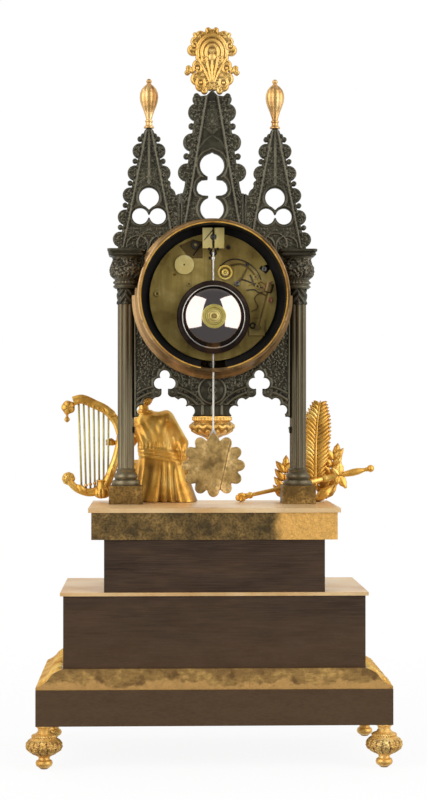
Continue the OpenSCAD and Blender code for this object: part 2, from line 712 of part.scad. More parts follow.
// A split block carries the silk and the regulator's roller
block_z = pivot_z + 3;
module suspension_block() color("khaki") difference() {
  box([-8.7, 8.7], [back_out, back_out + 8], [block_z, block_z + 16.4]);
  box([-0.9, 0.9], [pendulum_y - 2.4, back_out + 9], [block_z - 1, block_z + 18]);
  on(silk_at) rod_y([0, 0], back_out - 1, back_out + 3, 1.2 + fit);
  on(silk_at) rod_y([0, 0], pendulum_y - 2.4, back_out + 9, 2.6);
}

module regulator() color("silver") on(silk_at) {
  rod_y([0, 0], dial_y - 2, pendulum_y - 2.3, 1.2);
  rod_y([0, 0], pendulum_y - 2.35, pendulum_y + 2.4, 1.9);
  at_y(dial_y - 4.5, 2.6) square(2, center = true);
}

silk_r = 0.35;
module silk() color("ivory") for (x = [-1, 1])
  translate([x * silk_r * 1.1, pendulum_y, pivot_z + 0.15])
    cylinder(h = silk_at[1] - pivot_z - 2.15, r = silk_r, $fn = 16);

module barrel(c, great_y, lean) on(c) {
  y0 = plate_in + 3.5;
  h = 13;
  difference() {
    union() {
      at_y(y0, h) circle(barrel_r);
      at_y(great_y, 2.2) wheel_2d(barrel_teeth, barrel_module, lean);
    }
    rod_y([0, 0], -20, 60, arbor_r + fit);
  }
}
great_y = plate_in + 3.5;
strike_great_y = plate_in + 14.4;
module going_barrel() color("gold") barrel(going_at, great_y, 0);
module strike_barrel() color("gold") barrel(strike_at, strike_great_y, 0);

ratchet_teeth = 24;
module winder(c) color("silver") on(c) {
  rod_y([0, 0], dial_y + 1.2, back_out + 0.8, arbor_r);
  at_y(dial_y - 1.4, 2.7) square(arbor_r * 1.5, center = true);
  at_y(front_plate_y - 2.4, 1.4)
    polygon([for (k = [0:ratchet_teeth - 1]) for (s = [[0, 5.6], [0.9, 6.8]])
      let (a = 360 * (k + s[0]) / ratchet_teeth) [s[1] * cos(a), s[1] * sin(a)]]);
}
module going_winder() winder(going_at);
module strike_winder() winder(strike_at);

// Arbor, crossed wheel and pinion in one piece
module mobile(c, ends, r, leaves, m1, y1, phase1, n, m2, y2, phase2) on(c) {
  rod_y([0, 0], ends[0], ends[1], r, 32);
  at_y(y1 - 0.8, 3.8) leaves_2d(leaves, m1, phase1);
  if (n > 0) at_y(y2, 1.3) crossed(n, m2, phase2, r + 2);
  if (n > 0) rod_y([0, 0], y2 - 1.2, y2, r + 1.2, 32);
}
centre_phase = meshed(0, barrel_teeth, centre_leaves, bearing(going_at, centre_at));
third_phase = meshed(0, centre_teeth, small_leaves, bearing(centre_at, third_at));
escape_phase = meshed(0, third_teeth, small_leaves, bearing(third_at, escape_at));
strike_phase = meshed(0, barrel_teeth, centre_leaves, bearing(strike_at, strike_wheel_at));
pin_phase = meshed(0, strike_teeth, pin_leaves, bearing(strike_wheel_at, pin_at));
fly_phase = meshed(0, pin_teeth, small_leaves, bearing(pin_at, fly_at));
centre_y = back_in - 5.5;
third_y = back_in - 9.8;
escape_y = plate_in + 15;
strike_y = back_in - 5.5;
pin_y = back_in - 10;
hand_tip = dial_y - 5.6;

module centre_wheel() color("gold") {
  mobile(centre_at, [back_in - 4, back_out + 0.4], thin_r, centre_leaves, barrel_module,
         great_y, centre_phase, centre_teeth, centre_module, centre_y, 0);
  rod_y(centre_at, hand_tip, back_in - 3.9, centre_r);
}
module third_wheel() color("gold")
  mobile(third_at, [front_plate_y - 0.4, back_out + 0.4], thin_r, small_leaves, centre_module,
         centre_y, third_phase, third_teeth, third_module, third_y, 0);

escape_r = 9.5;
module escape_wheel() color("gold") {
  mobile(escape_at, [front_plate_y - 0.4, back_out + 0.4], thin_r, small_leaves, third_module,
         third_y, escape_phase, 0, 1, 0, 0);
  on(escape_at) at_y(escape_y, 1) difference() {
    low = escape_r - 1.9;
    polygon([for (k = [0:escape_teeth - 1]) for (s = [[0, low], [0.55, low], [0.78, escape_r]])
      let (a = 360 * (k + s[0]) / escape_teeth) [s[1] * cos(a), s[1] * sin(a)]]);
    for (a = [0:90:270]) rotate(a) intersection() {
      difference() {
        circle(escape_r - 3);
        circle(2.6);
      }
      translate([0.7, 0.7]) square(escape_r);
    }
  }
}

// Anchor over the escape wheel, its arbor, and the crutch with a fork round the pendulum's rod
fork_z = pivot_z - 24;
module pallets() color("silver") {
  on([0, pivot_z]) {
    rod_y([0, 0], front_plate_y - 0.4, back_out + 1.8, thin_r, 32);
    at_y(escape_y - 0.6, 2.2) {
      circle(2.2);
      for (s = [-1, 1]) mirror([s > 0 ? 0 : 1, 0])
        polygon([[-0.5, 2.1], [5.4, 0.6], [9.8, -4.4], [9.3, -6.2], [7.8, -5.8], [7.9, -4.3],
                 [4.6, -1.2], [0, -1.6]]);
    }
    at_y(back_out + 0.4, 1.2) circle(1.8);
  }
  box([-0.7, 0.7], [back_out + 0.5, back_out + 1.5], [fork_z, pivot_z]);
  difference() {
    box([-2.4, 2.4], [back_out + 0.5, pendulum_y + 1.8], [fork_z - 1.6, fork_z + 0.01]);
    gap = pendulum_r + 0.35;
    box([-gap, gap], [pendulum_y - 1.4, pendulum_y + 3], [fork_z - 3, fork_z + 1]);
  }
}

// Motion work
cannon_r = 2.3;
pipe_r = 3.1;
minute_y = front_plate_y - 2.3;
hour_y = front_plate_y - 4.3;
minute_phase = meshed(0, cannon_teeth, minute_teeth, bearing(centre_at, minute_at));
hour_phase = meshed(0, minute_leaves, hour_teeth, bearing(minute_at, centre_at));
module cannon_pinion() color("silver") on(centre_at) difference() {
  union() {
    at_y(minute_y - 0.4, 2) leaves_2d(cannon_teeth, cannon_module, 0);
    rod_y([0, 0], hand_tip + 0.6, minute_y, cannon_r);
  }
  rod_y([0, 0], -40, 10, centre_r + fit);
}
module minute_wheel() color("gold") {
  on(minute_at) difference() {
    union() {
      at_y(minute_y, 1.1) wheel_2d(minute_teeth, cannon_module, minute_phase);
      at_y(hour_y - 0.2, 2.4) leaves_2d(minute_leaves, hour_module, 0);
    }
    rod_y([0, 0], -40, 10, 0.8 + fit, 32);
  }
}
module minute_post() color("silver") {
  rod_y(minute_at, hour_y - 0.3, front_plate_y, 0.8, 32);
}
module hour_wheel() color("gold") on(centre_at) difference() {
  union() {
    at_y(hour_y, 1.1) wheel_2d(hour_teeth, hour_module, hour_phase);
    rod_y([0, 0], dial_y - 2.9, hour_y + 0.5, pipe_r);
  }
  rod_y([0, 0], -40, 10, cannon_r + fit);
}

// Blued hands with a pierced ring near the tip
module hand_2d(l, hub, ring, hole) difference() {
  union() {
    circle(hub);
    polygon([[-1.2, 0], [1.2, 0], [0.8, l * 0.66], [1, l * 0.66 + ring * 0.8], [0, l],
             [-1, l * 0.66 + ring * 0.8], [-0.8, l * 0.66]]);
    translate([0, l * 0.66]) circle(ring);
  }
  translate([0, l * 0.66]) circle(ring * 0.6);
  circle(hole);
}
hour_angle = 310;
minute_angle = 60;
module hour_hand() color("midnightblue") on(centre_at) at_y(dial_y - 2.7, 0.7)
  rotate(-hour_angle) hand_2d(30, 4.6, 3.6, pipe_r + 0.02);
module minute_hand() color("midnightblue") on(centre_at) at_y(dial_y - 4.6, 0.7)
  rotate(-minute_angle) hand_2d(43, 3.6, 2.9, cannon_r + 0.02);

// Strike work
module strike_wheel() color("gold") {
  mobile(strike_wheel_at, [front_plate_y - 0.4, back_in - 1], thin_r, centre_leaves, barrel_module,
         strike_great_y, strike_phase, strike_teeth, strike_module, strike_y, 0);
  rod_y(strike_wheel_at, back_in - 1.1, back_out + 0.4, strike_r);
}
module locking_disc() color("gold") on(pin_at) at_y(back_out + 0.5, 1.3) difference() {
  circle(7.8);
  circle(thin_r + 0.02, $fn = 32);
}
module pin_wheel() color("gold") {
  mobile(pin_at, [front_plate_y - 0.4, back_out + 2], thin_r, pin_leaves, strike_module,
         strike_y, pin_phase, pin_teeth, pin_module, pin_y, 0);
  for (a = [22.5:45:360]) rod_y(polar(pin_at, 5.7, a), pin_y - 2.2, pin_y + 0.1, 0.4, 16);
}
module fly() color("gold") {
  mobile(fly_at, [front_plate_y - 0.4, back_out + 0.4], thin_r, small_leaves, pin_module,
         pin_y, fly_phase, 0, 1, 0, 0);
  on(fly_at) box([-5.2, 5.2], [plate_in + 3, plate_in + 11], [-0.5, 0.5]);
}

// The hammer turns on an arbor in the back plate and a cock, and its head strikes the bell's rim
head_at = polar(hammer_at, hammer_l, hammer_rest);
module hammer() color("sienna") {
  rod_y(hammer_at, back_in - 2, back_out + 9, 1.2);
  on(hammer_at) rotate([0, -hammer_rest, 0]) {
    box([0, hammer_l], [back_out + 6, back_out + 7.4], [-0.7, 0.7]);
    rod_y([0, 0], back_out + 5.4, back_out + 8, 2.4);
  }
  translate([head_at[0], back_out + 6.7, head_at[1]]) rotate([0, -hammer_rest - 90, 0]) {
    translate([0, 0, -3.4]) cylinder(h = 6.8, r = 3.6);
    translate([0, 0, 3.3]) cylinder(h = 1, r1 = 3.6, r2 = 2.6);
  }
}

dome_r = 36.4;
module bell() color("silver") translate([bell_at[0], 0, bell_at[1]]) rotate([-90, 0, 0]) difference() {
  translate([0, 0, bell_rim_y]) rotate_extrude($fn = 96) difference() {
    intersection() {
      translate([0, bell_h - dome_r]) circle(dome_r, $fn = 160);
      square([bell_r, 40]);
    }
    intersection() {
      translate([0, bell_h - dome_r]) circle(dome_r - bell_t, $fn = 160);
      translate([-1, -1]) square([bell_r - bell_t + 1, 40]);
    }
  }
  cylinder(h = 80, r = stud_out_r + 0.1, $fn = 32);
}

stud_out_r = 1.5;
module bell_stand() color("goldenrod") {
  rod_y([stand_x, bell_at[1]], back_out, bell_rim_y + 6, 2.4);
  box([stand_x - 2.4, 2.4], [bell_rim_y + 3, bell_rim_y + 6], [bell_at[1] - 2.4, bell_at[1] + 2.4]);
  rod_y(bell_at, bell_rim_y + 5, bell_rim_y + bell_h - bell_t - 0.3, 3);
  rod_y(bell_at, bell_rim_y + 5, bell_rim_y + bell_h + 5.4, stud_out_r, 32);
}
module bell_nut() color("gold") difference() {
  union() {
    rod_y(bell_at, bell_rim_y + bell_h + 0.1, bell_rim_y + bell_h + 1.3, 9.7);
    rod_y(bell_at, bell_rim_y + bell_h + 1.2, bell_rim_y + bell_h + 4.4, 5);
  }
  rod_y(bell_at, bell_rim_y, bell_rim_y + 40, stud_out_r + 0.02, 32);
}

// Pendulum
bob_z = pivot_z - pendulum_l;
stirrup_z = bob_z + bob_r - 4;
module pendulum_rod() color("gold") {
  translate([0, pendulum_y, stirrup_z + 6]) cylinder(h = pivot_z - stirrup_z - 6.2, r = pendulum_r, $fn = 32);
  translate([0, pendulum_y, pivot_z - 6]) cylinder(h = 2, r = pendulum_r * 2, $fn = 32);
  at_y(pendulum_y - 0.6, 1.2) polygon([[-0.7, stirrup_z + 8], [-4.2, stirrup_z], [-3, stirrup_z],
    [0, stirrup_z + 5.4], [3, stirrup_z], [4.2, stirrup_z], [0.7, stirrup_z + 8]]);
}
module pendulum_bob() color("peru") on([0, bob_z]) difference() {
  at_y(pendulum_y - bob_t / 2, bob_t) {
    circle(bob_r * 0.82);
    for (k = [0:bob_petals - 1]) rotate(360 * (k + 0.5) / bob_petals) translate([bob_r * 0.82, 0])
      circle(bob_r * 0.18, $fn = 24);
  }
  box([-5, 5], [pendulum_y - 0.8, pendulum_y + 0.8], [stirrup_z - bob_z - 0.1, bob_r + 1]);
}

// Figures, in front of the facade's plane
module blob(p, r) translate(p) sphere(r, $fn = 16);
module limb(p, q, r1, r2) hull() {
  blob(p, r1);
  blob(q, r2);
}
fig_y = -30;
fz = top_z;
fk = figure_h / 101;
module harpist() color("goldenrod") translate([0, fig_y, fz]) scale(fk) {
  hull() {
    translate([42, -3, 0]) cylinder(h = 2, r = 15, $fn = 24);
    translate([24, 4, 0]) cylinder(h = 2, r = 13.5, $fn = 24);
    translate([56, 2, 0]) cylinder(h = 2, r = 11, $fn = 24);
    blob([30, 2, 28], 9.5);
    blob([52, 0, 28], 10.5);
  }
  hull() {
    blob([33, 2, 26], 9.5);
    blob([52, 0, 26], 10.5);
    blob([40, 3, 44], 9.5);
    blob([53, 2, 44], 9);
  }
  hull() {
    blob([40, 3, 42], 9.5);
    blob([53, 2, 42], 9);
    blob([39, 2, 69], 8);
    blob([57, 0, 68], 7.4);
  }
  limb([38, 1, 69], [24, 1, 48], 6.6, 5.4);
  limb([24, 1, 48], [42, -13, 44], 5.2, 4);
  limb([58, 0, 67], [68, -5, 50], 6.2, 4.8);
  limb([68, -5, 50], [85, -1, 49], 4.2, 3);
  limb([48, -5, 30], [68, -12, 27], 10.5, 7.6);
  limb([68, -12, 27], [75, -14.5, 4.4], 7.6, 4.4);
  limb([56, 2, 74], [57, 0, 79], 4, 3.8);
}
module harpist_head() color("goldenrod") translate([57.5, fig_y - 1, fz + 90 * fk]) {
  difference() {
    union() {
      scale([1, 1.08, 1.12]) sphere(8.6, $fn = 24);
      translate([-3, 8, -4]) sphere(4.8, $fn = 16);
    }
    translate([-12, -12, -16]) cube([24, 24, 9.2]);
  }
}

// A bar of even width along a few points; its round ends stand slightly proud of its sides
proud = 0.07;
module stroke(points, w) for (i = [0:len(points) - 2]) {
  p = points[i];
  q = points[i + 1];
  translate(p) rotate(bearing(p, q)) translate([0, -w / 2]) square([norm(q - p), w]);
  translate(p) circle(w / 2 + proud, $fn = 24);
  if (i == len(points) - 2) translate(q) circle(w / 2 + proud, $fn = 24);
}
harp_y = -25 - harp_t / 2;
harp_low = [[119.4, 18], [112, 10.5], [102, 8], [92, 10]];
harp_neck = [[115, 84.5], [107.8, 86], [98, 82], [87.4, 76.5], [79.5, 67], [76, 58]];
harp_foot = [99.4, 4.5];
module harp() color("gold") translate([0, 0, top_z]) {
  at_y(harp_y, harp_t) {
    stroke(harp_neck, 8);
    translate([119.6, 79.2]) circle(5.6);
    translate([120.6, 69]) circle(2.2, $fn = 24);
    translate([119.4, 72.6]) square([2, 5], center = true);
    stroke(harp_low, 7.4);
    translate([119.4, 19.6]) circle(5.4);
    translate([92, 9.5]) circle(6.6);
    stroke([[89, 14], [79.5, 36], [76, 58]], 6.4);
    translate([85, 0.05]) square([16, 6]);
  }
  for (i = [0:harp_strings - 1]) {
    k = i / (harp_strings - 1);
    low = [108.4 - 22 * k, 9 + 5 * k];
    high = [111 - 25 * k, 85 - 9 * k];
    translate([low[0], harp_y + harp_t / 2, low[1]]) rotate([0, 90 - bearing(low, high), 0])
      cylinder(h = norm(high - low), r = 0.9, $fn = 24);
  }
}

leaf_at = [-87.7, 13];
module palm_leaf() color("gold") at_y(-27, 3.2) translate(leaf_at + [0, top_z]) rotate(3) {
  n = 9;
  intersection() {
    translate([0, leaf_l * 0.5]) union() {
      intersection() {
        translate([-leaf_l * 0.62, 0]) circle(leaf_l * 0.76);
        translate([leaf_l * 0.62, 0]) circle(leaf_l * 0.76);
      }
      for (s = [-1, 1]) for (i = [0:n - 1])
        translate([s * (9.4 - pow(abs(i - 3.4), 2) * 0.24), (i - 4) * leaf_l / (n + 2)]) rotate(-s * 32)
          translate([-1.8, -5]) square([3.6, 9.5]);
    }
    translate([-12, 0]) square([24, leaf_l]);
  }
  translate([-1.5, -leaf_at[1] + 0.12]) square([3, leaf_at[1] + 5]);
}

// The sword leans on the plate: scabbard, cross guard, grip and pommel
sword_a = 12.4;
sword_tip = [-22.8, 3.6];
module sword() color("gold") translate([0, -20, top_z]) on(sword_tip) rotate([0, 180 + sword_a, 0]) {
  l = sword_l;
  box([0, l * 0.74], [-1.6, 1.6], [-2.1, 2.1]);
  rotate([90, 0, 0]) cylinder(h = 3.6, r = 2.9, center = true);
  box([l * 0.74 - 0.1, l * 0.77], [-2.4, 2.4], [-9.6, 9.6]);
  rotate([0, 90, 0]) translate([0, 0, l * 0.76]) cylinder(h = l * 0.2, r = 2);
  translate([l * 0.975, 0, 0]) sphere(2.9);
}

// Leaves grow from two stems that cross under the sword
module leaf_2d(l, w) {
  r = (l * l / 4 + w * w / 4) / w;
  intersection() {
    translate([r - w / 2, l / 2]) circle(r);
    translate([-r + w / 2, l / 2]) circle(r);
  }
}
module spray(n, h, lean) for (i = [0:n - 1]) for (s = [-1, 1])
  translate([lean * i / n, h * i / n + 1.8]) rotate(s * 38 - 4 * lean / h)
    translate([0, -1.7]) leaf_2d(16 - 0.3 * s, 6.2);
module laurel() color("gold") at_y(-33, 3) translate([0, top_z]) {
  translate([-97, 0.05]) {
    spray(5, 40, -8);
    rotate(6) translate([-1, 0]) square([2.2, 40]);
    translate([-7, 0]) square([14, 4]);
  }
  translate([-61, 0.05]) {
    spray(4, 30, -2);
    translate([-1, 0]) square([2, 34]);
    translate([-6, 0]) square([12, 4]);
  }
}

module trophy() {
  palm_leaf();
  sword();
  laurel();
}

feet();
plinth();
base_moulding();
lower_tier();
lower_cover();
upper_tier();
cornice();
top_plate();
tie_bar();
tie_rods();
column_blocks();
columns();
capitals();
arcade();
centre_gable();
side_gables();
palmette();
drop_finials();
pendant_boss();
drum();
bezel_seat();
case_screws();
hinge_pin();
bezel();
glass();
dial();
front_plate();
back_plate();
plate_pillars();
suspension_block();
regulator();
silk();
going_barrel();
going_winder();
centre_wheel();
third_wheel();
escape_wheel();
pallets();
cannon_pinion();
minute_wheel();
minute_post();
hour_wheel();
hour_hand();
minute_hand();
strike_barrel();
strike_winder();
strike_wheel();
locking_disc();
pin_wheel();
fly();
hammer();
bell();
bell_stand();
bell_nut();
pendulum_rod();
pendulum_bob();
harpist();
harpist_head();
harp();
trophy();
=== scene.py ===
"""Looks of the table clock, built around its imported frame. Lengths in the helpers are millimetres."""

import math

import bpy
import numpy as np
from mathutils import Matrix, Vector, kdtree


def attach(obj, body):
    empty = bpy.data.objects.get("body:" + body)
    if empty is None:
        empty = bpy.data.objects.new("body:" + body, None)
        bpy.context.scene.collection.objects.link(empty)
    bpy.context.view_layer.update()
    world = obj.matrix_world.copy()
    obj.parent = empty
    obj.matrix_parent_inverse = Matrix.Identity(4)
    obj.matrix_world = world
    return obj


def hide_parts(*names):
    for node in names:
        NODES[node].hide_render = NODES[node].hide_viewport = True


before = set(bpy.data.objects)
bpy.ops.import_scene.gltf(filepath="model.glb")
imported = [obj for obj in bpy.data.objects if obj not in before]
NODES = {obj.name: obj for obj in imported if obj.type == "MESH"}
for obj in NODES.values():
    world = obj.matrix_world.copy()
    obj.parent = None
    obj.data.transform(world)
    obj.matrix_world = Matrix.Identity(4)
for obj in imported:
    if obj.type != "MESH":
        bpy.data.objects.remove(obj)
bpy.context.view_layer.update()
MM = 0.001

# Heights, places and sizes repeated from the CAD source, in millimetres
TOP_Z = 204.5
DIAL_Z = 373.0
CENTRE_TOP = DIAL_Z + 168
COL_X = 71.0
CAPITAL_Z = 381.5
ABACUS_Z = 408.0
GABLE_Z = 413.8
ARCH_X = 39.0
ARCH_Z = 294.5
SIDE_X = 52.0
SPLIT_X = 26.5
DRUM_HOLE_R = 58.3
BOSS_Z = 276.5
FOOT_X, FOOT_Y = 134, 68.5
BOB_Z = 237.0
PENDULUM_Y = 35.0
PLATE_Y = 30.0
BELL_Z = 356.4

# Places of the carving alone
GABLE_LAP = 0.3
ROSE_Z = 298.0


# Materials

def linear(*rgb):
    """An sRGB colour, 0 to 255, as linear RGBA."""
    c = np.array(rgb, float) / 255
    c = np.where(c <= 0.04045, c / 12.92, ((c + 0.055) / 1.055) ** 2.4)
    return (*map(float, c), 1.0)


class Graph:
    """A node tree with short calls for the few kinds of node used here."""

    def __init__(self, tree, output="ShaderNodeOutputMaterial"):
        self.tree = tree
        self.tree.nodes.clear()
        self.out = self.add(output)

    def add(self, kind):
        return self.tree.nodes.new(kind)

    def feed(self, value, socket):
        if isinstance(value, bpy.types.NodeSocket):
            self.tree.links.new(value, socket)
        else:
            socket.default_value = value

    def fill(self, node, **values):
        """Feed a node's inputs by name, an underscore standing for a space."""
        for key, value in values.items():
            self.feed(value, node.inputs[key.replace("_", " ")])

    def noise(self, scale, detail, stretch=(1, 1, 1)):
        spread = self.add("ShaderNodeMapping")
        self.fill(spread, Scale=stretch, Vector=self.coords)
        n = self.add("ShaderNodeTexNoise")
        self.fill(n, Scale=scale, Detail=detail, Roughness=0.6, Vector=spread.outputs[0])
        return n.outputs["Fac"]

    def span(self, value, low, high, out_low=0.0, out_high=1.0):
        r = self.add("ShaderNodeMapRange")
        r.interpolation_type = "SMOOTHSTEP"
        self.fill(r, From_Min=low, From_Max=high, To_Min=out_low, To_Max=out_high, Value=value)
        return r.outputs["Result"]

    def mix(self, factor, a, b):
        m = self.add("ShaderNodeMix")
        m.data_type = "RGBA"
        self.feed(factor, m.inputs[0])
        self.feed(a, m.inputs[6])
        self.feed(b, m.inputs[7])
        return m.outputs[2]

    def math(self, kind, a, b):
        m = self.add("ShaderNodeMath")
        m.operation = kind
        self.feed(a, m.inputs[0])
        self.feed(b, m.inputs[1])
        return m.outputs[0]

    def mix_shader(self, factor, a, b):
        m = self.add("ShaderNodeMixShader")
        for n, value in enumerate((factor, a, b)):
            self.feed(value, m.inputs[n])
        return m.outputs[0]

    def along(self, axis):
        """Position along X, Y or Z, in metres."""
        split = self.add("ShaderNodeSeparateXYZ")
        self.feed(self.coords, split.inputs[0])
        return split.outputs[axis]

    def recess(self):
        """How far a point lies in a hollow of the carving, from the mesh's own attribute."""
        a = self.add("ShaderNodeAttribute")
        a.attribute_name = "recess"
        return a.outputs["Fac"]

    # Ambient occlusion made into a mask that is 1 deep in crevices: it drives painted shade.
    def crevice(self, distance):
        ao = self.add("ShaderNodeAmbientOcclusion")
        ao.samples = 6
        ao.inputs["Distance"].default_value = distance
        return self.span(ao.outputs["AO"], 0.2, 0.7, 1.0, 0.0)

    def bump(self, height, strength, distance):
        b = self.add("ShaderNodeBump")
        self.fill(b, Strength=strength, Distance=distance, Height=height)
        self.feed(b.outputs[0], self.shader.inputs["Normal"])


def surface(name):
    """A new material's graph, with its shader and the object's own coordinates at hand."""
    material = bpy.data.materials.new(name)
    material.use_nodes = True
    g = Graph(material.node_tree)
    g.material = material
    g.shader = g.add("ShaderNodeBsdfPrincipled")
    g.feed(g.shader.outputs[0], g.out.inputs[0])
    g.coords = g.add("ShaderNodeTexCoord").outputs["Object"]
    return g


def metal(name, tones, rough=(0.25, 0.45), metallic=1.0, patch=18, grain=900, grain_depth=0.00006,
          stretch=(1, 1, 1), dirt_and_shade=None, dirt_and_shade_share=0.85, crevice=0.003, specular=0.5, streak=None,
          fade=(), crest=None):
    """A metal with wear: patches of three tones, soiling and painted shade in its hollows, a painted
    highlight on raised carving, uneven gloss and a fine grain.
    streak is (scale, stretch, share, tone). Each fade is (axis, start, end, tone), in metres."""
    g = surface(name)
    deep, middle, light = (linear(*tone) for tone in tones)
    patches = g.noise(patch, 5, stretch)
    fine = g.noise(grain, 3, stretch)
    colour = g.mix(g.span(patches, 0.36, 0.5), deep, middle)
    colour = g.mix(g.span(patches, 0.5, 0.68), colour, light)
    if streak:
        lines = g.noise(streak[0], 2, streak[1])
        colour = g.mix(g.span(lines, 0.42, 0.62, 0.0, streak[2]), colour, linear(*streak[3]))
    for axis, start, end, tone in fade:
        edge = g.math("ADD", g.along(axis), g.span(g.noise(60, 3), 0.3, 0.7, -0.004, 0.004))
        grain_broken = g.mix(g.span(fine, 0.35, 0.7, 0.0, 0.35), linear(*tone), middle)
        colour = g.mix(g.span(edge, start, end), colour, grain_broken)
    # Raised carving gets a lighter tone: a painted highlight on the crests.
    if crest:
        raised = g.math("MULTIPLY", g.recess(), -1.0)
        colour = g.mix(g.span(raised, 0.15, 0.9), colour, linear(*crest))
    # Hollows of the carving and crevices found by ambient occlusion get a darker tone: partly soiling and
    # patina, partly painted shade.
    if dirt_and_shade:
        hollow = g.math("MAXIMUM", g.recess(), g.crevice(crevice))
        grain_broken = g.math("MULTIPLY", hollow, g.span(fine, 0.25, 0.6, 0.75, 1.0))
        colour = g.mix(g.math("MULTIPLY", grain_broken, dirt_and_shade_share), colour, linear(*dirt_and_shade))
    gloss = g.span(g.noise(patch * 3.1, 4, stretch), 0.3, 0.7, *rough)
    g.fill(g.shader, Base_Color=colour, Metallic=metallic, Specular_IOR_Level=specular, Roughness=gloss)
    g.bump(fine, 0.6, grain_depth)
    return g.material


